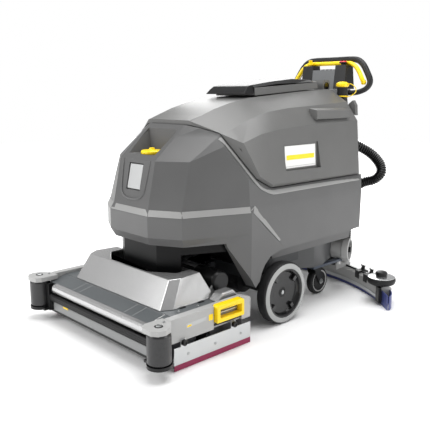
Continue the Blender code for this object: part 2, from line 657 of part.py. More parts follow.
def make_column():
    """The column behind the tank carries the console, the handle loop and the suction pipe."""
    outline = [(0.6075, 0.330), (0.680, 0.330), (0.705, 0.560), (0.705, 0.900), (0.742, 0.945),
               (0.742, 0.9575),
               (0.690, 0.9575), (0.664, 0.930), (0.664, 0.600), (0.645, 0.555), (0.6075, 0.545)]
    column = prism("rear_column", outline, "X", -COLUMN_HALF_X, COLUMN_HALF_X, BODY_GREY)
    join(column, cylinder("suction_pipe", (0.100, SUCTION_PIPE_Y, SUCTION_PIPE_Z),
                          (SUCTION_PIPE_X, SUCTION_PIPE_Y, SUCTION_PIPE_Z),
                          0.028, None, 20))
    cut(column, cylinder("pipe_bore", (0.120, SUCTION_PIPE_Y, SUCTION_PIPE_Z),
                         (0.250, SUCTION_PIPE_Y, SUCTION_PIPE_Z), 0.021, None, 20))
    panel = prism("console", [(0.690, 0.9585), (0.772, 0.9585), (0.752, 1.052), (0.700, 1.052)], "X",
                  -0.075, 0.075,
                  DARK_GREY)
    cheeks = []
    for side in (-1, 1):
        low_x, high_x = sorted((side * 0.068, side * 0.132))
        cheeks.append(prism(f"cheek_{side}", [(0.688, 0.9586), (0.776, 0.9586), (0.758, 1.074),
                                              (0.702, 1.074)], "X",
                            low_x, high_x, None))
    join(panel, *cheeks)
    holes = [cylinder("stop_hole", (0.100, 0.720, 1.040), (0.100, 0.720, 1.10), 0.0105, None),
             cylinder("key_hole", (-0.100, 0.720, 1.040), (-0.100, 0.720, 1.10), 0.0085, None)]
    cut(panel, *holes)
    half = [(0.020, 0.7800, 1.1060), (0.110, 0.7790, 1.1060), (0.150, 0.7770, 1.1000),
            (0.180, 0.7750, 1.0780),
            (0.205, 0.7720, 1.0420), (0.226, 0.7680, 1.0030), (0.2265, 0.7630, 0.9780),
            (0.212, 0.7540, 0.9580),
            (0.186, 0.7410, 0.9450), (0.160, 0.7320, 0.9400), (COLUMN_HALF_X + 0.0015, 0.7300, 0.9400)]
    points = [(-x, y, z) for x, y, z in reversed(half)] + half
    solid_tube("handle_loop", smooth_route(points, 56), HANDLE_RADIUS, BLACK, 10)
    bar = [(x * 0.905, y - 0.028, 1.0 + (z - 1.0) * 0.85) for x, y, z in half[:6]] + [(0.205, 0.748, 0.990)]
    points = [(-x, y, z) for x, y, z in reversed(bar)] + bar
    lever = solid_tube("drive_lever", smooth_route(points, 40), LEVER_RADIUS, YELLOW, 8)
    join(lever, *[cylinder(f"lever_boss_{side}", (side * 0.196, 0.748, 0.990),
                           (side * 0.2120, 0.748, 0.990), 0.011,
                           None, 14) for side in (-1, 1)])
    origin_at(lever, DRIVE_LEVER_PIVOT)
    button = turned("stop_button", [(0, -0.018), (0.0095, -0.018), (0.0095, 0.006), (0.019, 0.008),
                                    (0.020, 0.014),
                                    (0.016, 0.019), (0, 0.020)], (0.100, 0.720, 1.0745), (0, 0, 1), RED, 20)
    origin_at(button, (0.100, 0.720, 1.0745))
    key = turned("key_switch", [(0, -0.016), (0.0078, -0.016), (0.0078, 0.004), (0.014, 0.005),
                                (0.014, 0.010), (0, 0.011)],
                 (-0.100, 0.720, 1.0745), (0, 0, 1), YELLOW, 16)
    join(key, block("key_blade", (-0.103, 0.708, 1.082), (-0.097, 0.732, 1.104), None))
    origin_at(key, (-0.100, 0.720, 1.0745))
    lift = solid_tube("squeegee_lever", [(-0.1365, 0.690, 0.760), (-0.150, 0.690, 0.760),
                                         (-0.155, 0.700, 0.775),
                                        (-0.157, 0.745, 0.850), (-0.157, 0.770, 0.890)], 0.008, BLACK, 8)
    join(lift, turned("lever_knob", [(0, -0.016), (0.012, -0.012), (0.015, 0), (0.011, 0.014), (0, 0.018)],
                      (-0.157, 0.775, 0.900), (0, 0.5, 0.85), None, 12))
    origin_at(lift, SQUEEGEE_LEVER_PIVOT)


def make_water_filter():
    axis = Vector(FILTER_AXIS)
    start = Vector(FILTER_START)
    ring = turned("water_filter_housing", [(0, -0.010), (0.044, -0.010), (0.050, 0.040), (0.055, 0.044),
                                           (0.055, 0.074),
                                           (0.046, 0.076), (0.042, 0.046), (0, 0.046)], start, axis,
                                           LIGHT_GREY, 28)
    face = start + axis * (0.046 + GAP)
    knob = turned("water_filter_knob", [(0, 0), (0.030, 0), (0.030, 0.006), (0.013, 0.010), (0.013, 0.034),
                                        (0, 0.036)],
                  face, axis, BLACK, 18)
    origin_at(knob, face)
    return ring


def head_profile():
    """Section of the brush head's housing: a roof over two round tunnels, one for each roller."""
    def tunnel(centre_y):
        reach = BRUSH_RADIUS + 0.008
        low = math.asin((BRUSH_Z - 0.034) / reach)
        angles = [-low + (math.pi + 2 * low) * k / 12 for k in range(13)]
        return [(centre_y + reach * math.cos(a), BRUSH_Z + reach * math.sin(a)) for a in angles]

    return [
        (HEAD_FRONT_Y, 0.034), (HEAD_FRONT_Y, 0.158), (-0.596, 0.176), (-0.585, HEAD_TOP_Z),
        (HEAD_REAR_Y, HEAD_TOP_Z),
        (HEAD_REAR_Y, 0.034), *tunnel(BRUSH_REAR_Y), *tunnel(BRUSH_FRONT_Y),
    ]


def make_brush_head():
    housing = prism("head_housing", head_profile(), "X", -HEAD_HALF_X, HEAD_HALF_X, BLACK)
    parts = []
    for side in (-1, 1):
        low_x, high_x = sorted((side * 0.3345, side * 0.3560))
        parts.append(block(f"corner_post_{side}", (low_x, -0.694, 0.0460), (high_x, -0.640, 0.160), None))
        x, y = side * CORNER_ROLLER[0], CORNER_ROLLER[1]
        parts.append(cylinder(f"corner_base_{side}", (x, y, 0.0460), (x, y, 0.0585), 0.044, None, 24))
        low_x, high_x = sorted((side * 0.340, side * 0.392))
        parts.append(block(f"corner_tab_{side}", (low_x, -0.715, 0.0480), (high_x, -0.650, 0.0575), None))
        for inner in (0.088, 0.113):
            low_x, high_x = sorted((side * inner, side * (inner + 0.008)))
            parts.append(block(f"head_ear_{side}_{inner}", (low_x, -0.312, 0.170), (high_x, -0.285, 0.219),
                               None))
        low_x, high_x = sorted((side * 0.0125, side * 0.0205))
        parts.append(block(f"head_link_ear_{side}", (low_x, -0.312, 0.170), (high_x, -0.285, 0.250), None))
    join(housing, *parts)
    cover = loft("head_cover", [
        mirrored([(0.279, -0.594, 0.180), (0.302, -0.550, 0.180), (0.302, -0.345, 0.180)]),
        mirrored([(0.259, -0.533, 0.279), (0.279, -0.495, 0.281), (0.268, -0.392, 0.281)]),
    ], SILVER)
    inner = loft("cover_inside", [
        mirrored([(0.272, -0.588, 0.150), (0.294, -0.545, 0.150), (0.294, -0.352, 0.150)]),
        mirrored([(0.252, -0.526, 0.274), (0.272, -0.490, 0.274), (0.262, -0.399, 0.274)]),
    ], None)
    recess = prism("skirt_room", [(-0.214, -0.330), (-0.214, -0.460), (-0.120, -0.524), (0.120, -0.524),
                                  (0.214, -0.460),
                                  (0.214, -0.330)], "Z", 0.205, 0.400, None)
    cut(cover, inner, recess)
    plate = [(-0.5975, 0.1792), (-0.600, 0.1785), (-0.672, 0.1625), (-0.683, 0.1610), (-0.690, 0.1540),
             (-0.692, 0.1400),
             (-0.688, 0.1300), (-0.680, 0.1265), (HEAD_FRONT_Y - GAP, 0.1265), (HEAD_FRONT_Y - GAP, 0.1586),
             (-0.5975, 0.1765)]
    prism("front_plate", plate, "X", -0.312, 0.312, SILVER)
    strip = [(HEAD_FRONT_Y - GAP, 0.088), (-0.688, 0.088), (-0.694, 0.094), (-0.694, 0.114),
             (-0.689, 0.1195),
             (HEAD_FRONT_Y - GAP, 0.1195)]
    prism("front_bumper", strip, "X", -0.333, 0.333, BLACK)
    for side, word in ((1, "left"), (-1, "right")):
        make_head_side(side, word)
    for word, y in (("front", BRUSH_FRONT_Y), ("rear", BRUSH_REAR_Y)):
        half = HEAD_HALF_X - 0.004
        roller = turned(f"roller_brush_{word}", [(0, -half), (BRUSH_RADIUS, -half), (BRUSH_RADIUS, half),
                                                 (0, half)],
                        (0, y, BRUSH_Z), (1, 0, 0), BRISTLE, 28)
        origin_at(roller, (0, y, BRUSH_Z))
    turned("brush_motor", [(0, 0), (0.040, 0), (0.045, 0.006), (0.045, 0.120), (0.038, 0.132), (0, 0.132)],
           (0.150, -0.292, HEAD_TOP_Z + 0.0456), (1, 0, 0), BLACK, 20)
    make_lift_arms()


def make_head_side(side, word):
    """Side plate, release lever, corner roller, guard and rubber blade of one side."""
    def span(low, high):
        return sorted((side * low, side * high))

    low_x, high_x = span(HEAD_HALF_X + GAP, SIDE_PLATE_X)
    plate = prism(f"side_plate_{word}", [(-0.652, 0.104), (-0.652, 0.186), (-0.640, 0.191), (-0.285, 0.193),
                                         (-0.256, 0.186),
                                         (-0.248, 0.150), (-0.250, 0.104)],
                  "X", low_x, high_x, LIGHT_GREY)
    top = [(side * 0.350, -0.640), (side * 0.350, -0.716), (side * 0.362, -0.7355), (side * 0.384, -0.7430),
           (side * 0.416, -0.7420), (side * 0.438, -0.728), (side * 0.4465, -0.700), (side * 0.435, -0.672),
           (side * SIDE_PLATE_X, -0.640)]
    tongue = prism(f"roller_cap_{word}", top, "Z", 0.1695, 0.1880, None)
    join(plate, tongue)
    low_x, high_x = span(0.384, 0.43)
    seat = block(f"lever_seat_{word}", (low_x, -0.4405, 0.100), (high_x, -0.2965, 0.230), None)
    low_x, high_x = span(0.330, 0.3768)
    cut(plate, seat, block(f"post_room_{word}", (low_x, -0.705, 0.100), (high_x, -0.6392, 0.1608), None))
    low_x, high_x = span(0.3846, 0.413)
    lever = prism(f"brush_release_{word}", [(-0.438, 0.129), (-0.438, 0.188), (-0.430, 0.196),
                                            (-0.310, 0.196),
                                            (-0.299, 0.188), (-0.299, 0.129)], "X", low_x, high_x, YELLOW)
    low_x, high_x = span(0.37, 0.43)
    cut(lever, block(f"release_window_{word}", (low_x, -0.422, 0.145), (high_x, -0.312, 0.176), None))
    origin_at(lever, (side * 0.405, -0.3685, 0.1315))
    x, y = side * CORNER_ROLLER[0], CORNER_ROLLER[1]
    roller = turned(f"corner_roller_{word}", [(0, 0.0595), (0.038, 0.0595), (CORNER_ROLLER_RADIUS, 0.064),
                                              (CORNER_ROLLER_RADIUS, 0.160), (0.038, 0.168), (0, 0.1688)],
                    (x, y, 0), (0, 0, 1), RUBBER, 24)
    origin_at(roller, (x, y, 0.114))
    low_x, high_x = span(GUARD_X - 0.0045, GUARD_X)
    guard = block(f"side_guard_{word}", (low_x, -0.632, 0.0250), (high_x, -0.254, 0.0875), ALUMINIUM)
    tabs = []
    for k, tab_y in enumerate((-0.590, -0.346)):
        tabs.append(block(f"guard_tab_{word}_{k}", (low_x, tab_y - 0.012, 0.080),
                          (high_x, tab_y + 0.012, 0.1130), None))
        tabs.append(cylinder(f"guard_knob_{word}_{k}", (side * (GUARD_X - 0.003), tab_y, 0.1025),
                             (side * (GUARD_X + 0.009), tab_y, 0.1025), 0.0095, None, 14))
    join(guard, *tabs)
    low_x, high_x = span(GUARD_X - 0.0100, GUARD_X - 0.0052)
    block(f"guard_blade_{word}", (low_x, -0.626, FLOOR_GAP), (high_x, -0.248, 0.0760), CRIMSON)


def make_lift_arms():
    """Two lower arms on one cross tube, and the upper link between its ears."""
    bars = []
    start, end = Vector(ARM_CHASSIS_PIVOT), Vector(ARM_HEAD_PIVOT)
    arm = cylinder("lift_arm", (-0.100, (start.y + end.y) / 2, (start.z + end.z) / 2),
                   (0.100, (start.y + end.y) / 2, (start.z + end.z) / 2), 0.008, FRAME_PAINT, 12)
    for side in (-1, 1):
        low_x, high_x = sorted((side * 0.0975, side * 0.1115))
        bars.append(bar_between(f"arm_bar_{side}", start, end, 0.009, low_x, high_x))
    join(arm, *bars)
    origin_at(arm, start)
    rise = Vector((0, 0, LINK_RISE))
    link = bar_between("upper_link", start + rise, end + rise, 0.008, -0.0115, 0.0115)
    link.data.materials.append(FRAME_PAINT)
    origin_at(link, start + rise)


def bar_between(name, start, end, radius, low_x, high_x):
    """A flat bar with round ends between two pivots whose axes run along X."""
    along = (end - start).normalized()
    angle = math.atan2(along.z, along.y)
    outline = []
    for centre, first in ((end, angle - math.pi / 2), (start, angle + math.pi / 2)):
        for k in range(7):
            turn = first + math.pi * k / 6
            outline.append((centre.y + radius * math.cos(turn), centre.z + radius * math.sin(turn)))
    return prism(name, outline, "X", low_x, high_x, None)


def arc_sweep(name, section, half_degrees, material, curl=0.0):
    """A section of (distance from the blade's arc, z) carried along the squeegee's arc, 1 degree at a step.

    Past the beam's end it moves in towards the arc by curl.
    """
    rings = []
    for degrees in range(-half_degrees, half_degrees + 1):
        past = max(0, abs(degrees) - BEAM_HALF_DEGREES) / (BLADE_HALF_DEGREES - BEAM_HALF_DEGREES)
        inward = curl * past**2
        angle = math.radians(degrees)
        ring = []
        for reach, z in section:
            radius = BLADE_ARC_RADIUS + reach - inward
            ring.append((radius * math.sin(angle), BLADE_ARC_CENTRE + radius * math.cos(angle), z))
        rings.append(ring)
    return loft(name, rings, material)


def make_squeegee():
    arm = prism("squeegee_arm", [(-0.018, 0.0475), (0.150, 0.0475), (0.225, 0.1300),
                                 (GUIDE_Y + 0.006, 0.1300),
                                 (GUIDE_Y + 0.006, 0.1560), (0.215, 0.1560), (0.140, 0.0735),
                                 (-0.018, 0.0735)],
                "X", -0.018, 0.018, DARK_GREY)
    guide = block("arm_guide", (-0.030, GUIDE_Y, 0.100), (0.030, GUIDE_Y + 0.010, 0.300), None)
    clip = cylinder("hose_clip", (0, NOZZLE_Y, CUFF_Z[0]), (0, NOZZLE_Y, CUFF_Z[1]), 0.034, None, 20)
    clip_arm = block("clip_arm", (-0.012, GUIDE_Y + 0.004, CUFF_Z[0] + 0.004),
                     (0.012, NOZZLE_Y, CUFF_Z[1] - 0.004), None)
    join(arm, guide, clip, clip_arm)
    bore = cylinder("clip_bore", (0, NOZZLE_Y, 0.20), (0, NOZZLE_Y, 0.40), 0.020, None, 20)
    cut(arm, bore)
    swing(arm)
    for modifier in arm.modifiers:
        swing(modifier.object)
    origin_at(arm, (*SQUEEGEE_PIVOT, 0.060))
    gap = 0.0006
    front_wall, rear = -0.0076, BLADE_SPACING
    section = [
        (front_wall, 0.015), (-0.0036, 0.015), (-0.0036, 0.0675), (gap, 0.0675), (gap, 0.036),
        (rear - gap, 0.036),
        (rear - gap, 0.0675), (rear + 0.0046, 0.0675), (rear + 0.0046, 0.030), (rear + 0.0086, 0.030),
        (rear + 0.0086, 0.076), (rear - 0.002, 0.084), (0.006, 0.084), (front_wall, 0.076),
    ]
    beam = arc_sweep("squeegee_beam", section, BEAM_HALF_DEGREES, LIGHT_GREY)
    slider = block("beam_slider", (-0.040, GUIDE_Y + 0.0106, 0.079), (0.040, GUIDE_Y + 0.026, 0.150), None)
    drawbar = block("beam_drawbar", (-0.030, GUIDE_Y + 0.018, 0.079), (0.030, NOZZLE_Y + 0.010, 0.100), None)
    nozzle = cylinder("beam_nozzle", (0, NOZZLE_Y, 0.079), (0, NOZZLE_Y, NOZZLE_TOP_Z), 0.024, None, 20)
    brackets = []
    for side in (-1, 1):
        x, y = side * BUMPER_X, BUMPER_Y
        brackets.append(cylinder(f"bumper_post_{side}", (x, y + 0.008, 0.072),
                                 (x, y + 0.008, BUMPER_Z - 0.0206), 0.016,
                                 None, 14))
    join(beam, slider, drawbar, nozzle, *brackets)
    bore = cylinder("nozzle_bore", (0, NOZZLE_Y, 0.020), (0, NOZZLE_Y, 0.20), 0.0145, None, 16)
    cut(beam, bore)
    front = arc_sweep("squeegee_blade_front", [(-0.0030, FLOOR_GAP), (0.0, FLOOR_GAP), (0.0, 0.066),
                                               (-0.0030, 0.066)],
                      FRONT_BLADE_HALF_DEGREES, BLUE)
    rear = arc_sweep("squeegee_blade_rear", [(BLADE_SPACING, FLOOR_GAP), (BLADE_SPACING + 0.004, FLOOR_GAP),
                                             (BLADE_SPACING + 0.004, 0.066), (BLADE_SPACING, 0.066)],
                     BLADE_HALF_DEGREES, BLUE, BLADE_SPACING - 0.004)
    for obj in (beam, front, rear, *[modifier.object for modifier in beam.modifiers]):
        swing(obj)
    for side, word in ((1, "left"), (-1, "right")):
        disc = turned(f"squeegee_bumper_{word}", [(0, -0.020), (0.050, -0.020), (0.060, -0.014),
                                                  (BUMPER_RADIUS, -0.004),
                                                  (BUMPER_RADIUS, 0.006), (0.060, 0.013), (0.024, 0.017),
                                                  (0.022, 0.034),
                                                  (0, 0.036)], (side * BUMPER_X, BUMPER_Y, BUMPER_Z),
                                                  (0, 0, 1), RUBBER, 26)
        swing(disc)
        origin_at(disc, swung((side * BUMPER_X, BUMPER_Y, BUMPER_Z)))


def make_suction_hose():
    """The corrugated hose from the suction pipe round its loop to the arm's clip, and the bellows."""
    clip = swung((0, NOZZLE_Y, CUFF_Z[1] + 0.0015))
    points = [
        (SUCTION_PIPE_X + 0.0015, SUCTION_PIPE_Y, SUCTION_PIPE_Z), (0.200, SUCTION_PIPE_Y, SUCTION_PIPE_Z),
        (0.242, 0.702, 0.676), (0.281, 0.735, 0.644), (0.308, 0.766, 0.596), (0.310, 0.772, 0.552),
        (0.284, 0.757, 0.520), (0.246, 0.724, 0.505), (0.212, 0.695, 0.470), (clip.x, clip.y, 0.400), clip,
    ]
    tube("suction_hose", smooth_route(points, 40), HOSE_RADIUS, RUBBER)
    top = swung((0, NOZZLE_Y, CUFF_Z[0] - GAP))
    bottom = swung((0, NOZZLE_Y, NOZZLE_TOP_Z + GAP))
    turned("hose_bellows", [(0.015, 0), (HOSE_RADIUS, 0), (HOSE_RADIUS, top.z - bottom.z),
                            (0.015, top.z - bottom.z)],
           bottom, (0, 0, 1), RUBBER, 20)


def centre_on_floor():
    """Moves every object so that the origin is the bottom centre of the whole machine's box."""
    graph = bpy.context.evaluated_depsgraph_get()
    corners = []
    for obj in scene.objects:
        if obj.hide_render:
            continue
        evaluated = obj.evaluated_get(graph)
        mesh = evaluated.to_mesh()
        corners += [evaluated.matrix_world @ vertex.co for vertex in mesh.vertices]
        evaluated.to_mesh_clear()
    low = [min(corner[k] for corner in corners) for k in range(3)]
    high = [max(corner[k] for corner in corners) for k in range(3)]
    shift = Vector((-(low[0] + high[0]) / 2, -(low[1] + high[1]) / 2, -low[2]))
    for obj in scene.objects:
        obj.location += shift
    print("shift", [round(value, 5) for value in shift], "size",
          [round(h - l, 4) for l, h in zip(low, high)])


make_body_parts()
make_frame()
make_drive_wheels()
make_casters()
make_tank_parts()
make_lid()
make_column()
make_water_filter()
make_brush_head()
make_squeegee()
make_suction_hose()
centre_on_floor()
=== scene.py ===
"""Walk-behind floor scrubber: materials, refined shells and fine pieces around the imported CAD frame.

Places are given in the machine's own frame: x from the middle plane, y from the drive axle towards the rear and z
from the floor, in metres. The function at() moves them to the frame's origin.
"""

import json
import math

import bmesh
import bpy
import numpy as np
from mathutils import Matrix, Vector
from mathutils.bvhtree import BVHTree


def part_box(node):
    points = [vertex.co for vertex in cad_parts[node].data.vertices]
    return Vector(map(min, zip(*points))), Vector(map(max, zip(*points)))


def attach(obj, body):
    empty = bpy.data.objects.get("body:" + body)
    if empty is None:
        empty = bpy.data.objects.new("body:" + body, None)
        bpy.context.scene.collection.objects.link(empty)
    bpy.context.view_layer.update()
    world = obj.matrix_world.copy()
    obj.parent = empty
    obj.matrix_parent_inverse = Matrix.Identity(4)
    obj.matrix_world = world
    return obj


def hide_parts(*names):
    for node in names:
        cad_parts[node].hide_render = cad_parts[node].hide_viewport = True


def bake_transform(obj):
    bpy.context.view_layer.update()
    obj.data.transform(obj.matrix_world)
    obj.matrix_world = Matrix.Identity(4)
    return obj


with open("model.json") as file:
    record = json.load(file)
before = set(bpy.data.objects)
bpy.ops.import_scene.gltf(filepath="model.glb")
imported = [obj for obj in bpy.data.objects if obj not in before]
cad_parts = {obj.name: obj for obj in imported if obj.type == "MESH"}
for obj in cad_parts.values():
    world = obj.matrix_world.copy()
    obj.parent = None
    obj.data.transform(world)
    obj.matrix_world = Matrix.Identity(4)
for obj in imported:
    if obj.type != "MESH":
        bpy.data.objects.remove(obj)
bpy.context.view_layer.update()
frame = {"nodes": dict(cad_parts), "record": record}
nodes = frame["nodes"]
body_of_node = {node: body for body, group in frame["record"]["behaviour"]["bodies"].items() for node in group}


def middle(node):
    """The centre of a CAD node's box."""
    low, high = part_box(node)
    return (np.array(low) + np.array(high)) / 2


# Where the machine's own frame starts in the world.
MACHINE = np.array([middle("lower_body")[0], middle("drive_hub_left")[1], 0.0])
SIDES = ((1, "left"), (-1, "right"))
# Faces that fine pieces lie on: x of the side plates, the side guards and the label's seat, and z of the deck.
SIDE_FACE, GUARD_FACE, LABEL_FACE, DECK_TOP = 0.3962, 0.4015, 0.3065, 0.1797
# Places on the left side: the corner roller's bolt, the wheels' centres and the tank's socket.
ROLLER_SPOT = (0.402, -0.697, 0.1880)
WHEEL_CENTRE = (0.3395, 0, 0.130)
CASTER_CENTRE = (0.215, 0.410, 0.064)
SOCKET_SPOT = (0.1184, 0.5640, 0.9720)
FILTER_START, FILTER_AXIS = np.array([0.222, 0.535, 0.2005]), np.array([0.93, 0.3676, 0.0])
# y and z of the drive lever's pivot, and the clip that holds the suction hose to the squeegee's arm.
LEVER_PIVOT = (0.748, 0.990)
CLIP = (0.18797, 0.67892, 0.305)
# The hoses' ribs in mm, the x that rays at the body start from, and the angle in degrees that shades as an edge.
RIB_PITCH, RIB_DEPTH = 9.5, 5.0
OUTSIDE = 0.6
SEAM_ANGLE = 38
# How strongly the world lights the machine, where 1 would be paper white.
AMBIENT = 0.45


def at(*point):
    """A place in the machine's frame as one in the world."""
    return np.array(point, float) + MACHINE


# ---------------------------------------------------------------- materials


def linear(hex_colour):
    """An sRGB colour such as '6b6b6b' as linear red, green, blue and alpha."""
    parts = np.array([int(hex_colour[k:k + 2], 16) for k in (0, 2, 4)]) / 255
    low = parts <= 0.04045
    return (*np.where(low, parts / 12.92, ((parts + 0.055) / 1.055) ** 2.4), 1.0)


def add_node(tree, kind, settings=None, **links):
    """Adds a node, sets its values, and links its inputs; a link is (node, output) or a plain value.

    An input goes by its name, with _ for a space, or by i and its number where two share a name.
    """
    made = tree.nodes.new(kind)
    for name, value in (settings or {}).items():
        setattr(made, name, value)
    for name, value in links.items():
        numbered = name[0] == "i" and name[1:].isdigit()
        socket = made.inputs[int(name[1:]) if numbered else name.replace("_", " ")]
        if isinstance(value, tuple) and len(value) == 2 and hasattr(value[0], "outputs"):
            tree.links.new(value[0].outputs[value[1]], socket)
        else:
            socket.default_value = value
    return made


def finish(name, colour, roughness, grain_mm=0.8, bump_mm=0.05, tone=0.06, metallic=0.0, coat=0.0, specular=0.5,
           gloss_range=0.08):
    """A solid finish: its colour with a faint large cloud of tone, and a fine grain as bump and as gloss.

    grain_mm is the size of the grain, bump_mm its depth, and tone how much the colour wanders.
    """
    made = bpy.data.materials.new(name)
    made.use_nodes = True
    tree = made.node_tree
    shader = tree.nodes["Principled BSDF"]
    shader.inputs["Metallic"].default_value = metallic
    shader.inputs["Specular IOR Level"].default_value = specular
    shader.inputs["Coat Weight"].default_value = coat
    shader.inputs["Coat Roughness"].default_value = 0.12
    place = add_node(tree, "ShaderNodeTexCoord")
    cloud = add_node(tree, "ShaderNodeTexNoise", Vector=(place, "Object"), Scale=7.0, Detail=3.0)
    base = np.array(linear(colour))
    ramp = add_node(tree, "ShaderNodeValToRGB", Fac=(cloud, "Fac"))
    for stop, factor in zip(ramp.color_ramp.elements, (1 - tone, 1 + tone)):
        stop.color = (*np.clip(base[:3] * factor, 0, 1), 1.0)
    ramp.color_ramp.elements[0].position = 0.3
    ramp.color_ramp.elements[1].position = 0.7
    tree.links.new(ramp.outputs["Color"], shader.inputs["Base Color"])
    grain = add_node(tree, "ShaderNodeTexNoise", Vector=(place, "Object"), Scale=1000 / grain_mm, Detail=2.0)
    gloss = add_node(tree, "ShaderNodeMapRange", Value=(grain, "Fac"), To_Min=roughness - gloss_range / 2,
                     To_Max=roughness + gloss_range / 2)
    tree.links.new(gloss.outputs["Result"], shader.inputs["Roughness"])
    bump = add_node(tree, "ShaderNodeBump", Height=(grain, "Fac"), Distance=bump_mm / 1000, Strength=0.6)
    tree.links.new(bump.outputs["Normal"], shader.inputs["Normal"])
    return made


# Rotomoulded polyethylene: an even satin skin with a fine grain that breaks up the highlights. The real grain is
# about half this size, and is drawn coarser so that it shows. The edge grey is a painted highlight: the skin's
# grey made lighter.
BODY = finish("moulded_polyethylene_grey", "555555", 0.36, grain_mm=1.6, bump_mm=0.10, tone=0.05)
TANK = finish("moulded_polyethylene_tank", "5f5f5e", 0.34, grain_mm=1.6, bump_mm=0.10, tone=0.05)
PAINTED_HIGHLIGHT_GREY = finish("polyethylene_painted_highlight", "8f8f8e", 0.34, grain_mm=1.6, tone=0.04)
# Injection moulded polypropylene: smoother than the tanks, with a soft sheen.
LIGHT = finish("polypropylene_light_grey", "a9a9a8", 0.35, grain_mm=0.9, bump_mm=0.04, tone=0.04)
APRON = finish("polypropylene_apron_grey", "8b8c8c", 0.4, grain_mm=0.9, bump_mm=0.04, tone=0.05)
POCKET = finish("polypropylene_warm_grey", "8f8a80", 0.45, grain_mm=0.9, bump_mm=0.04, tone=0.08)
PANEL = finish("polypropylene_panel_grey", "66686a", 0.35, grain_mm=0.9, bump_mm=0.04, tone=0.05)
DECK = finish("polypropylene_deck_grey", "565a5c", 0.32, grain_mm=0.9, bump_mm=0.03, tone=0.05)
UNDER = finish("polypropylene_underbody", "4c4d4e", 0.4, grain_mm=0.9)
DARK = finish("polypropylene_dark_grey", "2c2e30", 0.42, grain_mm=0.9)
BLACK = finish("polypropylene_black", "111112", 0.36, bump_mm=0.04, tone=0.08, specular=0.35)
# Glass-filled nylon rims: black with a broad shine, from a polished mould.
RIM = finish("nylon_rim_black", "131314", 0.24, grain_mm=1.2, bump_mm=0.03, tone=0.08)
# Moulded ABS: a smooth, even shine. The skirt's is duller, as it hangs in the spray of the brushes.
GLOSS_BLACK = finish("abs_gloss_black", "0d0d0e", 0.16, grain_mm=2.0, bump_mm=0.01, tone=0.05, coat=0.3)
SKIRT = finish("abs_skirt_black", "0b0b0c", 0.34, grain_mm=2.0, bump_mm=0.01, tone=0.05, specular=0.16)
YELLOW = finish("abs_signal_yellow", "ffd800", 0.34, grain_mm=0.9, bump_mm=0.03, tone=0.03)
RED = finish("abs_stop_red", "c8161d", 0.3, grain_mm=0.9, bump_mm=0.02, tone=0.03)
# Metallic paint under a clear coat: bright where it faces a light, and dark where it faces away.
SILVER = finish("silver_paint", "bdbdbd", 0.27, grain_mm=0.5, bump_mm=0.01, tone=0.03, metallic=0.75, coat=0.25)
# Powder coat on steel: an even, slightly pebbled skin with little shine.
FRAME = finish("black_powder_coat", "17181a", 0.5, grain_mm=0.7, bump_mm=0.06, tone=0.08)
SLATE = finish("slate_powder_coat", "474e5a", 0.4, grain_mm=0.7, bump_mm=0.03, tone=0.05)
# Plated steel: soft mirrors, a little cloudy on the screws and clear on the bumpers' tops.
STEEL = finish("zinc_plated_steel", "b6b8b8", 0.32, grain_mm=1.2, bump_mm=0.01, tone=0.05, metallic=1.0)
BRIGHT = finish("polished_zinc", "d8d9da", 0.2, grain_mm=1.0, bump_mm=0.005, tone=0.03, metallic=0.9)
# Anodised aluminium: a pale matt metal. The tag and the badge are the same metal under a printed film.
ALUMINIUM = finish("anodised_aluminium", "c4c6c7", 0.36, grain_mm=0.6, bump_mm=0.01, tone=0.04, metallic=0.85)
TAG = finish("anodised_tag", "b4b5b5", 0.3, grain_mm=0.6, bump_mm=0.01, tone=0.03, metallic=0.4)
BADGE = finish("brushed_badge_metal", "c6c7c7", 0.3, grain_mm=0.6, bump_mm=0.01, tone=0.04, metallic=0.5)
# Printed foil: a smooth white film with a thin gloss.
LABEL = finish("printed_foil_white", "e6e6e4", 0.28, grain_mm=1.5, bump_mm=0.005, tone=0.01, coat=0.3)
# Rubber: matt, with broad dim highlights; the sidewall's is the pale kind that leaves no marks.
RUBBER = finish("black_rubber", "1a1a1b", 0.55, grain_mm=1.0, bump_mm=0.08, tone=0.10, specular=0.35)
GRIP = finish("soft_grip_rubber", "18181a", 0.5, grain_mm=1.6, bump_mm=0.12, tone=0.08, specular=0.4)
TYRE = finish("tyre_rubber_dark", "232324", 0.6, grain_mm=1.2, bump_mm=0.08, tone=0.10, specular=0.3)
SIDEWALL = finish("tyre_rubber_light_grey", "a4a5a4", 0.5, grain_mm=1.2, tone=0.05, specular=0.35)
CRIMSON = finish("crimson_rubber", "8c1146", 0.42, grain_mm=1.0, bump_mm=0.04)
# Soft PVC and cast polyurethane: smoother than rubber, with sharper lights on the ribs and rollers.
HOSE = finish("ribbed_pvc_black", "101011", 0.3, grain_mm=1.0, bump_mm=0.03, tone=0.08)
ROLLER = finish("polyurethane_roller_black", "2b2b2c", 0.28, grain_mm=1.0, bump_mm=0.02)
BLUE = finish("blue_polyurethane", "434b86", 0.4, grain_mm=1.0, bump_mm=0.03)
# Nylon bristle: dull from its many tips, with a deep grain.
BRISTLE = finish("nylon_bristle_grey", "55565a", 0.6, grain_mm=1.0, bump_mm=0.4, tone=0.2)

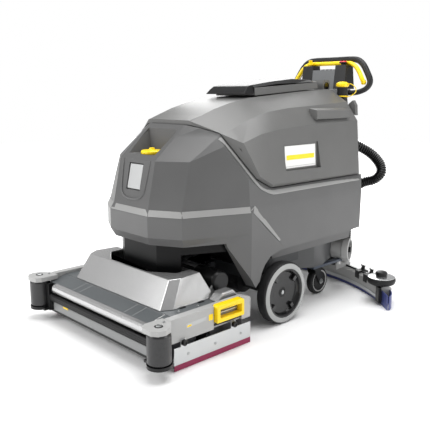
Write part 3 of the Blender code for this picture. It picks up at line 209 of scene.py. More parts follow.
NODE_MATERIAL = {
    BODY: ["lower_body", "rear_column"],
    TANK: ["waste_tank", "lid_housing"],
    UNDER: ["rear_underbody"],
    LIGHT: ["water_filter_housing", "side_plate_left", "side_plate_right", "squeegee_beam"],
    DARK: ["battery_pack", "chassis_frame"],
    PANEL: ["console"],
    BLACK: ["filter_basket", "lid_cover", "suction_turbine", "squeegee_lever", "water_filter_knob",
            "head_housing", "front_bumper", "brush_motor"],
    GLOSS_BLACK: ["drive_hub_left", "drive_hub_right"],
    SKIRT: ["front_skirt"],
    YELLOW: ["water_fill_cap", "drain_cap", "float_ball", "drive_lever", "key_switch", "brush_release_left",
             "brush_release_right"],
    RED: ["stop_button"],
    SILVER: ["head_cover", "front_plate"],
    FRAME: ["drive_unit", "caster_fork_left", "caster_fork_right", "lift_arm", "upper_link", "squeegee_arm"],
    ALUMINIUM: ["turbine_impeller", "side_guard_left", "side_guard_right"],
    RUBBER: ["drain_hose", "suction_hose", "hose_bellows", "handle_loop",
             "squeegee_bumper_left", "squeegee_bumper_right", "caster_wheel_left", "caster_wheel_right"],
    ROLLER: ["corner_roller_left", "corner_roller_right"],
    TYRE: ["drive_tyre_left", "drive_tyre_right"],
    CRIMSON: ["guard_blade_left", "guard_blade_right"],
    BLUE: ["squeegee_blade_front", "squeegee_blade_rear"],
    BRISTLE: ["roller_brush_front", "roller_brush_rear"],
}
for material, group in NODE_MATERIAL.items():
    for node in group:
        nodes[node].data.materials.clear()
        nodes[node].data.materials.append(material)


# ---------------------------------------------------------------- making pieces


def piece(name, shape, material, body, replaced=(), smooth=True):
    """A new piece from a shape in the machine frame, riding on a body unless that is None."""
    points, faces = shape
    mesh = bpy.data.meshes.new(name)
    mesh.from_pydata((np.asarray(points) + MACHINE).tolist(), [], faces)
    mesh.validate()
    mesh.polygons.foreach_set("use_smooth", [smooth] * len(mesh.polygons))
    mesh.materials.append(material)
    made = bpy.data.objects.new(name, mesh)
    bpy.context.scene.collection.objects.link(made)
    if smooth:
        mark = made.modifiers.new("even_shading", "WEIGHTED_NORMAL")
        mark.keep_sharp = True
        mesh.set_sharp_from_angle(angle=math.radians(SEAM_ANGLE))
    if body:
        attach(made, body)
    if replaced:
        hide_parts(*replaced)
    return made


def grid_faces(rows, columns):
    """Quads over a grid of points, with the columns closed into a ring and each end row capped."""
    index = np.arange(rows * columns).reshape(rows, columns)
    after = np.roll(index, -1, axis=1)
    quads = np.stack([index[:-1], after[:-1], after[1:], index[1:]], axis=-1).reshape(-1, 4)
    return [*quads.tolist(), index[0, ::-1].tolist(), index[-1].tolist()]


def soften(made, width_mm, segments=3, angle=28):
    """A rounded edge of this width wherever two faces meet at more than the angle."""
    bevel = made.modifiers.new("rounded_edges", "BEVEL")
    bevel.width = width_mm / 1000
    bevel.segments = segments
    bevel.limit_method = "ANGLE"
    bevel.angle_limit = math.radians(angle)
    bevel.harden_normals = False
    bevel.miter_outer = "MITER_ARC"
    bevel.use_clamp_overlap = True
    weigh = made.modifiers.new("even_shading", "WEIGHTED_NORMAL")
    weigh.keep_sharp = True
    return made


def refined(node, width_mm, segments, angle):
    """A copy of a CAD node with its points merged, flat faces joined and edges rounded, shown in its place."""
    flat_within = math.radians(1.5)
    mesh = nodes[node].data.copy()
    work = bmesh.new()
    work.from_mesh(mesh)
    bmesh.ops.remove_doubles(work, verts=work.verts, dist=2e-5)
    bmesh.ops.dissolve_degenerate(work, edges=work.edges, dist=1e-5)
    bmesh.ops.dissolve_limit(work, angle_limit=flat_within, verts=work.verts, edges=work.edges)
    work.to_mesh(mesh)
    work.free()
    mesh.polygons.foreach_set("use_smooth", [True] * len(mesh.polygons))
    made = bpy.data.objects.new(node + "_shell", mesh)
    bpy.context.scene.collection.objects.link(made)
    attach(made, body_of_node[node])
    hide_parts(node)
    return soften(made, width_mm, segments, angle)


# Edge width in mm, segments, the angle in degrees that counts as an edge, and the nodes; * is left and right.
REFINED = (
    (7, 4, 16, "lower_body"), (6, 4, 16, "waste_tank"), (4, 3, 20, "lid_housing"), (4, 3, 14, "lid_cover"),
    (3, 3, 25, "front_skirt"), (4, 3, 25, "rear_underbody"), (5, 3, 25, "rear_column"), (4, 3, 25, "console"),
    (6, 4, 18, "head_cover"), (2, 3, 20, "front_plate front_bumper"), (1.5, 2, 30, "head_housing"),
    (3, 3, 22, "side_plate_*"), (3.5, 4, 25, "brush_release_*"), (0.8, 2, 30, "side_guard_* guard_blade_*"),
    (2.5, 3, 25, "corner_roller_* brush_motor"), (1.5, 2, 25, "squeegee_beam"), (1.5, 2, 30, "squeegee_arm"),
    (0.8, 2, 30, "caster_fork_*"), (2, 3, 25, "water_filter_housing"), (1.5, 3, 25, "water_filter_knob"),
    (1.5, 2, 30, "chassis_frame"), (2.5, 3, 25, "squeegee_bumper_*"), (1.2, 3, 25, "stop_button"),
    (1.5, 3, 25, "water_fill_cap drain_cap"), (0.8, 2, 30, "key_switch"),
)
for width, segments, angle, names in REFINED:
    for name in names.split():
        for node in dict.fromkeys(name.replace("*", word) for _, word in SIDES):
            refined(node, width, segments, angle)


def second_colour(node, material, chosen):
    """Gives a shell's faces another material where chosen(centre, normal), in the machine frame, says so."""
    mesh = bpy.data.objects[node + "_shell"].data
    mesh.materials.append(material)
    centres, normals = np.zeros((2, len(mesh.polygons) * 3), np.float32)
    mesh.polygons.foreach_get("center", centres)
    mesh.polygons.foreach_get("normal", normals)
    picked = chosen((centres.reshape(-1, 3) - MACHINE).T, normals.reshape(-1, 3).T)
    mesh.polygons.foreach_set("material_index", picked.astype(np.int32))


# The console's cheeks are black beside its grey panel, and the stop button's stem is black under its red face.
second_colour("console", BLACK, lambda centre, _: np.abs(centre[0]) > 0.0665)
second_colour("stop_button", BLACK, lambda _, normal: normal[2] < 0.6)


# ---------------------------------------------------------------- shapes, as (points, faces) in the machine frame


def outward(points, faces):
    """The shape with its faces turned outwards, from the sign of its volume, and its unused points dropped."""
    used, index = np.unique(np.concatenate([np.asarray(face) for face in faces]), return_inverse=True)
    points = np.asarray(points, float)[used]
    cuts = np.cumsum([len(face) for face in faces])[:-1]
    faces = [part.tolist() for part in np.split(index, cuts)]
    fans = np.array([(face[0], face[k], face[k + 1]) for face in faces for k in range(1, len(face) - 1)])
    if np.linalg.det(points[fans] - points.mean(axis=0)).sum() < 0:
        faces = [face[::-1] for face in faces]
    return points, faces


def together(*shapes):
    """Several shapes as one set of points and faces."""
    points, faces, first = [], [], 0
    for shape_points, shape_faces in shapes:
        points.append(shape_points)
        faces += [[first + k for k in face] for face in shape_faces]
        first += len(shape_points)
    return np.concatenate(points), faces


def turned(profile, centre, axis=(0, 0, 1), steps=40):
    """Each (radius, distance along the axis) of the profile becomes a ring of points about the axis.

    A profile that starts and ends on the axis closes at its poles, and any other closes on itself as a ring.
    """
    axis = np.array(axis, float) / np.linalg.norm(axis)
    side = np.cross(axis, (0, 0, 1)) if abs(axis[2]) < 0.9 else np.array((1.0, 0, 0))
    side /= np.linalg.norm(side)
    other = np.cross(axis, side)
    profile = np.array(profile, float)
    if profile[0, 0] != 0:
        profile = np.vstack([profile, profile[:1]])
    turn = 2 * math.pi * np.arange(steps) / steps
    spokes = np.cos(turn)[:, None] * side + np.sin(turn)[:, None] * other
    points = np.array(centre) + profile[:, 1, None, None] * axis + profile[:, 0, None, None] * spokes
    index = np.arange(len(profile) * steps).reshape(len(profile), steps)
    index[profile[:, 0] == 0] = index[profile[:, 0] == 0][:, :1]
    if profile[0, 0] != 0:
        index[-1] = index[0]
    after = np.roll(index, -1, axis=1)
    quads = np.stack([index[:-1], after[:-1], after[1:], index[1:]], axis=-1).reshape(-1, 4)
    return outward(points.reshape(-1, 3), [list(dict.fromkeys(quad)) for quad in quads.tolist()])


def plate(outline, axis, low, high):
    """An outline in the plane across X, Y or Z, carried from low to high along that axis."""
    across = "XYZ".index(axis)
    rest = [k for k in range(3) if k != across]
    outline = np.array(outline, float)
    points = np.zeros((2, len(outline), 3))
    points[:, :, rest] = outline
    points[0, :, across], points[1, :, across] = low, high
    return outward(points.reshape(-1, 3), grid_faces(2, len(outline)))


def slab(low, high):
    """A block between two corners."""
    (x0, y0, z0), (x1, y1, z1) = low, high
    return plate([(x0, y0), (x1, y0), (x1, y1), (x0, y1)], "Z", z0, z1)


def route(points, count):
    """A smooth curve through the points: a Catmull-Rom spline, sampled at equal steps of its length."""
    points = np.array(points, float)
    padded = np.vstack([2 * points[0] - points[1], points, 2 * points[-1] - points[-2]])
    t = np.linspace(0, 1, 40, endpoint=False)[:, None]
    pieces = []
    for a, b, c, d in zip(padded, padded[1:], padded[2:], padded[3:]):
        square, cube = 2 * a - 5 * b + 4 * c - d, 3 * b - a - 3 * c + d
        pieces.append(0.5 * (2 * b + (c - a) * t + square * t**2 + cube * t**3))
    dense = np.vstack([*pieces, points[-1:]])
    length = np.concatenate([[0], np.cumsum(np.linalg.norm(np.diff(dense, axis=0), axis=1))])
    even = np.linspace(0, length[-1], count)
    return np.stack([np.interp(even, length, dense[:, k]) for k in range(3)], axis=1)


def swept(path, radius, sides=20, flat=1.0):
    """A ring of points carried along a path with no twist; radius may be one number or one for each point.

    flat squeezes the ring in its second direction, so that a strap is wider than it is thick.
    """
    path = np.array(path, float)
    along = np.gradient(path, axis=0)
    along /= np.linalg.norm(along, axis=1)[:, None]
    side = np.cross(along[0], (0.0, 0.3, 1.0))
    side /= np.linalg.norm(side)
    sides_at = []
    for direction in along:
        side = side - direction * (side @ direction)
        side /= np.linalg.norm(side)
        sides_at.append(side)
    sides_at = np.array(sides_at)
    others = np.cross(along, sides_at)
    turn = 2 * math.pi * np.arange(sides) / sides
    radius = np.broadcast_to(radius, len(path))[:, None, None]
    rings = path[:, None] + radius * (
        np.cos(turn)[None, :, None] * sides_at[:, None] + flat * np.sin(turn)[None, :, None] * others[:, None]
    )
    return outward(rings.reshape(-1, 3), grid_faces(len(path), sides))


def path_length(path):
    """The length of a path of points."""
    return float(np.linalg.norm(np.diff(np.asarray(path), axis=0), axis=1).sum())


def ribbed(path, outer, pitch_mm, depth_mm, sides=24, steps=6):
    """A corrugated hose and its fine path: the radius falls and rises as a cosine, one rib for each pitch."""
    length = path_length(path)
    count = int(round(length * 1000 / pitch_mm)) * steps + 1
    fine = route(path, count)
    wave = 0.5 + 0.5 * np.cos(2 * math.pi * np.arange(count) / steps)
    return swept(fine, outer - depth_mm / 1000 * (1 - wave**0.7), sides), fine


def bolt(spot, axis, radius, height):
    """A round-headed screw with a hexagon socket: a dome whose middle is a shallow pit."""
    dome = [(0, 0.55), (0.42, 0.55), (0.46, 1), (0.78, 0.94), (1, 0.45)]
    profile = [(radius * across, height * up) for across, up in dome] + [(radius, -0.001), (0, -0.001)]
    return turned(profile, spot, axis, 16)


def mirror_x(shape, side):
    """The shape as it is for the left side, 1, and mirrored for the right side, -1."""
    points, faces = shape
    return (points, faces) if side > 0 else (points * (-1, 1, 1), [face[::-1] for face in faces])


# ---------------------------------------------------------------- brush head


def make_head_trim():
    """Dark decks round the raised cover, the lip's fine lines, screws, tags, the apron and the corner bolts."""
    def sloped(near, far, low, high, x0, x1):
        """A strip on the sloping front plate, which rises 0.2222 m for each metre of y."""
        outline = [(y, 0.1785 + (y + 0.600) * 0.2222 + lift) for y, lift in
                   ((near, low), (far, low), (far, high), (near, high))]
        return plate(outline, "X", x0, x1)

    deck = plate([(-0.363, -0.5965), (0.363, -0.5965), (0.363, -0.300), (-0.363, -0.300)], "Z", 0.1781, DECK_TOP)
    corners = [plate([(-0.5970, 0.1770), (-0.6710, 0.1592), (-0.6715, 0.1618), (-0.5970, 0.1786)], "X",
                     *sorted((side * 0.3135, side * 0.3635))) for side, _ in SIDES]
    inlay = sloped(-0.6010, -0.6680, 0.0002, 0.0012, -0.3085, 0.3085)
    soften(piece("head_deck", together(deck, inlay, *corners), DECK, "brush_head"), 0.5, 2)
    lines = [sloped(-0.6020, -0.6660, 0.0010, 0.0018, x, x + 0.0016) for x in (-0.185, -0.144, 0.161, 0.212)]
    piece("deck_lines", together(*lines), LIGHT, "brush_head", smooth=False)
    apron = slab((-0.333, -0.6765, 0.046), (0.333, -0.6728, 0.0870))
    strips = [slab((-0.333, -0.6955, z), (0.333, -0.6930, z + 0.0022)) for z in (0.0955, 0.1030, 0.1105)]
    soften(piece("head_apron", apron, APRON, "brush_head"), 1.2, 2)
    soften(piece("bumper_ribs", together(*strips), BLACK, "brush_head"), 0.8, 2)
    mark = slab((-0.249, -0.6800, 0.0745), (-0.214, -0.6760, 0.0872))
    soften(piece("size_mark", mark, YELLOW, "brush_head"), 1.0, 2)
    heads, rings, clips = [], [], []
    for side, _ in SIDES:
        roller = (side * ROLLER_SPOT[0], *ROLLER_SPOT[1:])
        heads += [bolt((side * 0.326, y, DECK_TOP), (0, 0, 1), 0.0048, 0.0032)
                  for y in (-0.545, -0.455, -0.365)]
        heads.append(bolt(roller, (0, 0, 1), 0.0105, 0.0050))
        heads.append(bolt((side * 0.386, -0.662, 0.1895), (0, 0, 1), 0.0050, 0.0030))
        rings.append(turned([(0.0108, 0), (0.0150, 0), (0.0144, 0.0012), (0.0112, 0.0012)], roller))
        x = side * 0.3045
        clips += [slab((x - 0.004, y - 0.012, DECK_TOP), (x + 0.006, y + 0.012, 0.1835))
                  for y in (-0.51, -0.42)]
    piece("head_screws", together(*heads), STEEL, "brush_head")
    piece("corner_bolt_rings", together(*rings), BLACK, "brush_head")
    soften(piece("cover_clips", together(*clips), BLACK, "brush_head"), 0.8, 2)


def make_side_trim():
    """On each side: tag, marks, the release's pocket and rod, the guard's screws, the covers and the end cap."""
    face = SIDE_FACE
    tag = plate([(-0.573, 0.1445), (-0.478, 0.1500), (-0.478, 0.1640), (-0.573, 0.1600)],
                "X", face, face + 0.0006)
    stripe = plate([(-0.568, 0.1475), (-0.549, 0.1486), (-0.549, 0.1545), (-0.568, 0.1534)],
                   "X", face + 0.0006, face + 0.001)
    square = slab((face, -0.466, 0.1440), (face + 0.0008, -0.446, 0.1660))
    pocket = slab((0.3842, -0.4395, 0.124), (0.3846, -0.2975, 0.1885))
    rod = turned([(0, 0), (0.0032, 0), (0.0032, 0.106), (0, 0.106)], (0.3885, -0.420, 0.157), (0, 1, 0), 14)
    dark = slab((0.372, -0.6515, 0.1150), (face - 0.002, -0.300, 0.1195))
    screws = [bolt((GUARD_FACE, y, z), (1, 0, 0), 0.0052, 0.0026)
              for y, z in ((-0.568, 0.053), (-0.438, 0.052), (-0.307, 0.054))]
    knob = [(0, 0.0105), (0.0045, 0.0105), (0.0050, 0.0128), (0.0098, 0.0120), (0.0112, 0.0095), (0.0112, 0.0010),
            (0, 0.0010)]
    knobs = [turned(knob, (GUARD_FACE, y, 0.1015), (1, 0, 0), 24) for y in (-0.590, -0.346)]
    cover = plate([(-0.385, DECK_TOP), (-0.352, 0.2100), (-0.296, 0.2120), (-0.266, DECK_TOP)], "X", 0.306, 0.352)
    wing = plate([(-0.372, DECK_TOP), (-0.330, 0.2220), (-0.285, 0.2260), (-0.262, 0.2040), (-0.262, DECK_TOP)],
                 "X", 0.268, 0.274)
    end_cap = plate([(-0.2975, 0.1880), (-0.2975, 0.1925), (-0.2620, 0.1890), (-0.2500, 0.1810), (-0.2500, 0.1500),
                     (-0.2560, 0.1500), (-0.2560, 0.1780), (-0.2660, 0.1840)], "X", 0.374, face + 0.0012)
    for side, word in SIDES:
        soften(piece(f"side_tag_{word}", mirror_x(tag, side), TAG, "brush_head"), 0.3, 2)
        piece(f"side_stripe_{word}", mirror_x(together(stripe, square), side), YELLOW, "brush_head", smooth=False)
        piece(f"release_pocket_{word}", mirror_x(pocket, side), POCKET, "brush_head", smooth=False)
        piece(f"release_rod_{word}", mirror_x(rod, side), STEEL, "brush_head")
        piece(f"side_shadow_line_{word}", mirror_x(dark, side), BLACK, "brush_head", smooth=False)
        piece(f"guard_screws_{word}", mirror_x(together(*screws), side), STEEL, f"side_guard_{word}")
        piece(f"guard_knobs_{word}", mirror_x(together(*knobs), side), BLACK, f"side_guard_{word}")
        soften(piece(f"motor_cover_{word}", mirror_x(cover, side), SILVER, "brush_head"), 5, 4)
        soften(piece(f"cover_flange_{word}", mirror_x(wing, side), SILVER, "brush_head"), 1.2, 2)
        soften(piece(f"side_end_cap_{word}", mirror_x(end_cap, side), LIGHT, "brush_head"), 1.0, 2)


def make_tufts():
    """Bristle tufts on both rollers: blunt cones set along 16 helical rows, half of each in the roller."""
    across, rows, sides = 62, 16, 6
    half_width, twist = 0.352, 1.6
    tuft = grid_faces(2, sides)
    x = np.repeat(np.linspace(-half_width, half_width, across), rows)
    turn = np.tile(2 * math.pi * np.arange(rows) / rows, across) + np.repeat(np.linspace(0, twist, across), rows)
    out = np.stack([0 * turn, np.cos(turn), np.sin(turn)], axis=1)
    tangent = np.stack([0 * turn, -np.sin(turn), np.cos(turn)], axis=1)
    lay = 2 * math.pi * np.arange(sides) / sides
    ring = np.cos(lay)[:, None, None] * np.array([1.0, 0, 0]) + np.sin(lay)[:, None, None] * tangent[None]
    faces = [[first + k for k in face] for first in range(0, len(turn) * 2 * sides, 2 * sides) for face in tuft]
    for word in ("front", "rear"):
        node = f"roller_brush_{word}"
        centre = middle(node) - MACHINE
        spot = centre + np.stack([x - centre[0], 0 * x, 0 * x], axis=1)
        foot = spot + out * 0.050 + ring * 0.0030
        tip = spot + out * 0.0696 + ring * 0.0042
        points = np.stack([foot, tip]).transpose(2, 0, 1, 3).reshape(-1, 3)
        shaft = turned([(0, -0.3595), (0.0560, -0.3595), (0.0560, 0.3595), (0, 0.3595)], centre, (1, 0, 0), 40)
        piece(f"brush_tufts_{word}", together(outward(points, faces), shaft), BRISTLE, node, [node])


# ---------------------------------------------------------------- wheels

# Each profile is a row of (radius, distance out along the axle).
SIDEWALL_RING = [(0.1030, 0.0262), (0.1040, 0.0272), (0.1120, 0.0280), (0.1225, 0.0252), (0.1240, 0.0238),
                 (0.1215, 0.0215), (0.1050, 0.0235)]
TREAD = [(0.1245, 0.0232), (0.1292, 0.0190), (0.1300, 0.0150), (0.1300, -0.0150), (0.1292, -0.0190),
         (0.1230, -0.0250), (0.1100, -0.0275), (0.0972, -0.0275), (0.0972, 0.0215), (0.1030, 0.0255),
         (0.1130, 0.0262)]
RIM_LIP = [(0.0925, 0.0215), (0.0968, 0.0262), (0.1028, 0.0268), (0.1025, 0.0225), (0.0930, 0.0195)]
RIM_DISH = [(0, -0.0260), (0.0960, -0.0260), (0.0960, 0.0200), (0.0930, 0.0205), (0.0890, 0.0090),
            (0.0850, 0.0062), (0.0600, 0.0058), (0.0300, 0.0036), (0.0230, 0.0030), (0, 0.0030)]
HUB_CAP = [(0, 0.0120), (0.0050, 0.0115), (0.0092, 0.0085), (0.0098, 0.0025), (0, 0.0025)]
HUB_COLLAR = [(0.0105, 0.0060), (0.0170, 0.0055), (0.0210, 0.0028), (0.0105, 0.0028)]
CASTER_RING = [(0.0465, 0.0152), (0.0480, 0.0166), (0.0505, 0.0176), (0.0518, 0.0168), (0.0500, 0.0150)]
CASTER_HUB = [(0.0070, 0.0172), (0.0190, 0.0186), (0.0215, 0.0178), (0.0215, 0.0140), (0.0070, 0.0140)]
CASTER_NUT = [(0, 0.0335), (0.0048, 0.0335), (0.0056, 0.0325), (0.0060, 0.0300), (0.0092, 0.0296),
              (0.0098, 0.0285), (0.0098, 0.0250), (0, 0.0250)]
CASTER_WASHER = [(0, 0.0262), (0.0125, 0.0262), (0.0125, 0.0248), (0, 0.0248)]


def make_wheel_trim():
    """Sidewall ring, rim lip, ribs and cap of each drive wheel, and the ring, bolt and lip of each caster."""
    for side, word in SIDES:
        def on_wheel(profile, steps):
            return turned(profile, wheel, (side, 0, 0), steps)

        wheel = (side * WHEEL_CENTRE[0], *WHEEL_CENTRE[1:])
        body = f"drive_wheel_{word}"
        piece(f"sidewall_{word}", on_wheel(SIDEWALL_RING, 96), SIDEWALL, body)
        piece(f"tread_{word}", on_wheel(TREAD, 96), TYRE, body, [f"drive_tyre_{word}"])
        rim = together(on_wheel(RIM_LIP, 96), on_wheel(RIM_DISH, 72))
        piece(f"rim_{word}", rim, RIM, body, [f"drive_hub_{word}"])
        ribs = []
        for turn in np.radians([38, 128, 218, 308]):
            points, faces = slab((0.0040, -0.0085, 0.070), (0.0190, 0.0085, 0.0925))
            cos, sin = math.cos(turn), math.sin(turn)
            spin = np.array([[1, 0, 0], [0, cos, -sin], [0, sin, cos]])
            ribs.append(outward(points @ spin.T * (side, 1, 1) + wheel, faces))
        soften(piece(f"rim_pockets_{word}", together(*ribs), GLOSS_BLACK, body), 1.6, 3)
        piece(f"hub_cap_{word}", on_wheel(HUB_CAP, 28), STEEL, body)
        piece(f"hub_collar_{word}", on_wheel(HUB_COLLAR, 36), BLACK, body)
        caster = (side * CASTER_CENTRE[0], *CASTER_CENTRE[1:])
        for face, near in ((1, "outer"), (-1, "inner")):
            axis, body = (side * face, 0, 0), f"caster_wheel_{word}"
            piece(f"caster_ring_{near}_{word}", turned(CASTER_RING, caster, axis, 56), LIGHT, body)
            piece(f"caster_hub_{near}_{word}", turned(CASTER_HUB, caster, axis, 36), BLACK, body)
            nut = together(turned(CASTER_NUT, caster, axis, 6), turned(CASTER_WASHER, caster, axis, 28))
            piece(f"caster_bolt_{near}_{word}", nut, STEEL, f"caster_fork_{word}")
        rail = plate([(0.310, 0.1470), (0.535, 0.1470), (0.545, 0.1592), (0.310, 0.1592)], "X", 0.2440, 0.2700)
        soften(piece(f"caster_rail_{word}", mirror_x(rail, side), SLATE, "chassis"), 1.2, 2)


# ---------------------------------------------------------------- body, tank and lid


def make_body_trim():
    """The front badge on its border, both side labels, and the filter's face with the grips of its knob."""
    badge = plate([(-0.4694, 0.6715), (-0.4716, 0.6715), (-0.4921, 0.5785), (-0.4899, 0.5785)],
                  "X", -0.0395, 0.0395)
    border = plate([(-0.4684, 0.6750), (-0.4704, 0.6750), (-0.4914, 0.5750), (-0.4894, 0.5750)],
                   "X", -0.0432, 0.0432)
    soften(piece("front_badge", badge, BADGE, "chassis"), 0.8, 2)
    soften(piece("front_badge_border", border, BLACK, "chassis"), 0.6, 2)
    back, front = LABEL_FACE + 0.0002, LABEL_FACE + 0.0016
    label = plate([(0.037, 0.728), (0.239, 0.728), (0.247, 0.636), (0.047, 0.636)], "X", back, front)
    bar = plate([(0.0500, 0.6900), (0.2330, 0.6895), (0.2345, 0.6700), (0.0520, 0.6705)],
                "X", front, front + 0.0004)
    rule = plate([(0.0470, 0.6440), (0.2430, 0.6440), (0.2432, 0.6425), (0.0472, 0.6425)],
                 "X", front, front + 0.0002)
    for side, word in SIDES:
        soften(piece(f"side_label_{word}", mirror_x(label, side), LABEL, "tank"), 0.6, 2)
        piece(f"side_label_bar_{word}", mirror_x(bar, side), YELLOW, "tank", smooth=False)
        piece(f"side_label_rule_{word}", mirror_x(rule, side), LIGHT, "tank", smooth=False)
    rim = [(0.0305, 0.0461), (0.0340, 0.0500), (0.0410, 0.0480), (0.0415, 0.0461)]
    piece("filter_face", turned(rim, FILTER_START, FILTER_AXIS, 48), BLACK, "chassis")
    grip = [(0, 0), (0.0045, 0), (0.0045, 0.0080), (0, 0.0090)]
    knob = FILTER_START + FILTER_AXIS * 0.0520
    grips = []
    for turn in np.radians(np.arange(0, 360, 60)):
        level = np.array([-FILTER_AXIS[1], FILTER_AXIS[0], 0]) * math.cos(turn)
        grips.append(turned(grip, knob + (level + (0, 0, math.sin(turn))) * 0.0240, FILTER_AXIS, 12))
    piece("filter_knob_grips", together(*grips), BLACK, "filter_knob")


def skin(node, spots, direction):
    """Where rays from these spots first meet a node's surface; a ray that misses keeps its spot."""
    mesh = nodes[node].data
    tree = BVHTree.FromPolygons([point.co for point in mesh.vertices], [face.vertices for face in mesh.polygons])
    found = []
    for spot in spots:
        place = tree.ray_cast(Vector(at(*spot)), Vector(direction))[0]
        found.append(np.array(spot, float) if place is None else np.array(place) - MACHINE)
    return np.array(found)


def make_seam_bands():
    """A chamfer under the tank's seam with a painted highlight: its section leans out by 4 mm over 16 mm, along
    the seam's line.
    """
    falling = [(0, -0.255, 0.781), (0, -0.190, 0.693), (0, -0.127, 0.606), (0, -0.085, 0.579), (0, -0.045, 0.565)]
    level = [(0, -0.03, 0.5645), (0, 0.28, 0.5645), (0, 0.590, 0.5645)]
    line = np.vstack([route(falling, 24), route(level, 16)])
    along = np.gradient(line, axis=0)
    down = np.stack([0 * along[:, 0], along[:, 2], -along[:, 1]], axis=1)
    down /= np.linalg.norm(down, axis=1)[:, None]
    down *= np.where(down[:, 2:] > 0, -1, 1)
    for side, word in SIDES:
        rings = []
        for drop, proud in ((0.003, -0.004), (0.003, -0.0005), (0.019, 0.0035), (0.0215, 0.003), (0.0225, -0.004)):
            row = line + down * drop
            row[:, 0] = OUTSIDE * side
            near = skin("lower_body", row, (-side, 0, 0))
            near[:, 0] += side * proud
            rings.append(near)
        rings = np.array(rings).transpose(1, 0, 2)
        shape = outward(rings.reshape(-1, 3), grid_faces(len(rings), rings.shape[1]))
        piece(f"seam_band_{word}", shape, PAINTED_HIGHLIGHT_GREY, "chassis")


def make_belt_band():
    """The facet round the nose at the belt with a painted highlight, laid on the body's skin, and its tail to the
    wheel arch.
    """
    plan = [(-0.339, -0.186), (-0.24, -0.453), (-0.12, -0.52), (0.12, -0.52), (0.24, -0.453), (0.339, -0.186)]
    rings = []
    for start, end in zip(np.array(plan), np.array(plan[1:])):
        normal = np.array([(end - start)[1], -(end - start)[0]])
        normal /= np.linalg.norm(normal)
        rows = []
        for z, proud in ((0.5120, -0.003), (0.5120, 0.0010), (0.4890, 0.0010), (0.4890, -0.003)):
            share = np.linspace(0.012, 0.988, 9)[:, None]
            flat = start + share * (end - start) + normal * 0.2
            spots = np.column_stack([flat, np.full(9, z)])
            near = skin("lower_body", spots, (-normal[0], -normal[1], 0))
            rows.append(near + np.array([*normal, 0]) * proud)
        rings.append(outward(np.array(rows).transpose(1, 0, 2).reshape(-1, 3), grid_faces(9, 4)))
    tail = [(-0.186, 0.4990), (-0.158, 0.5120), (-0.012, 0.3560), (-0.018, 0.3500)]
    for side, _ in SIDES:
        corners = skin("lower_body", [(OUTSIDE * side, y, z) for y, z in tail], (-side, 0, 0))
        far = corners + (side * 0.0010, 0, 0)
        rings.append(outward(np.vstack([corners - (side * 0.003, 0, 0), far]), grid_faces(2, 4)))
    piece("belt_band", together(*rings), PAINTED_HIGHLIGHT_GREY, "chassis", smooth=False)


def make_front_frame():
    """The soft raised rim round the front badge: a flattened rod laid on the nose along a shield's outline."""
    half = [(0.0, 0.5400), (0.040, 0.5440), (0.064, 0.5580), (0.074, 0.5850), (0.080, 0.6400), (0.084, 0.6900)]
    outline = [(-x, z) for x, z in reversed(half[1:])] + half
    spots = route([(x, -1.0, z) for x, z in outline], 48)
    path = skin("lower_body", spots, (0, 1, 0))
    radius = 0.0052 * np.sin(np.linspace(0.12, math.pi - 0.12, len(path))) ** 0.35
    piece("front_rim", swept(path, radius, 16, 0.8), BODY, "chassis")


def make_shrouds():
    """A black inner panel that closes the space between the front skirt and the drive bay."""
    wall = slab((-0.225, -0.158, 0.236), (0.225, -0.150, 0.330))
    soften(piece("bay_bulkhead", wall, BLACK, "chassis"), 1.0, 2)


def make_drain_strap():
    """The yellow strap from the drain cap round to the hose's neck, the neck's ring and the cap's rim."""
    x, y = 0.168, 0.624
    bends = [(0.026, 0, 0.9820), (0.050, 0.004, 0.9790), (0.070, 0.006, 0.9630), (0.071, 0.006, 0.9440),
             (0.052, 0.004, 0.9280), (0.027, 0.002, 0.9200)]
    curve = route([(x + across, y + along, z) for across, along, z in bends], 40)
    strap = piece("drain_strap", swept(curve, 0.0040, 12, 0.5), YELLOW, None)
    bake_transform(strap)
    neck = turned([(0.0248, -0.003), (0.0262, -0.002), (0.0262, 0.002), (0.0248, 0.003)],
                  (x, y, 0.9240), steps=40)
    piece("drain_neck_ring", neck, YELLOW, "tank")
    rim = turned([(0.0306, 0.0050), (0.0306, 0.0130), (0.0290, 0.0130), (0.0290, 0.0050)],
                 (x, y, 0.966), steps=44)
    piece("drain_cap_rim", rim, YELLOW, "drain_cap")


def make_hoses():
    """The plain drain hose and the ribbed suction and lift hoses, along the routes of their solids."""
    x = 0.176
    path = route([(x, 0.5995, 0.640), (x, 0.618, 0.643), (x, 0.630, 0.672), (x, 0.632, 0.760),
                  (x - 0.004, 0.630, 0.860), (x - 0.008, 0.624, 0.925), (x - 0.008, 0.624, 0.966)], 36)
    drain = piece("drain_pipe", swept(route(path, 90), 0.0245, 28), RUBBER, "tank", ["drain_hose"])
    x, y, low = CLIP
    points = [(0.1615, 0.692, 0.690), (0.200, 0.692, 0.690), (0.242, 0.702, 0.676), (0.281, 0.735, 0.644),
              (0.308, 0.766, 0.596), (0.310, 0.772, 0.552), (0.284, 0.757, 0.520), (0.246, 0.724, 0.505),
              (0.212, 0.695, 0.470), (x, y, 0.400), (x, y, low + 0.0015)]
    shape, path = ribbed(route(points, 40), 0.0250, RIB_PITCH, RIB_DEPTH)
    suction = piece("suction_pipe_hose", shape, HOSE, None, ["suction_hose"])
    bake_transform(suction)
    nozzle_top, cuff = 0.1406, 0.2844
    line = [(x, y, z) for z in (nozzle_top, (nozzle_top + cuff) / 2, cuff)]
    shape, _ = ribbed(line, 0.0260, RIB_PITCH, RIB_DEPTH)
    bellows = piece("lift_bellows", shape, HOSE, None, ["hose_bellows"])
    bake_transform(bellows)
    ring = [(0.0266, -0.014), (0.0295, -0.012), (0.0295, 0.012), (0.0266, 0.014)]
    piece("suction_cuff", turned(ring, (0.176, 0.692, 0.690), (1, 0, 0), 40), BLACK, "chassis")


# ---------------------------------------------------------------- squeegee


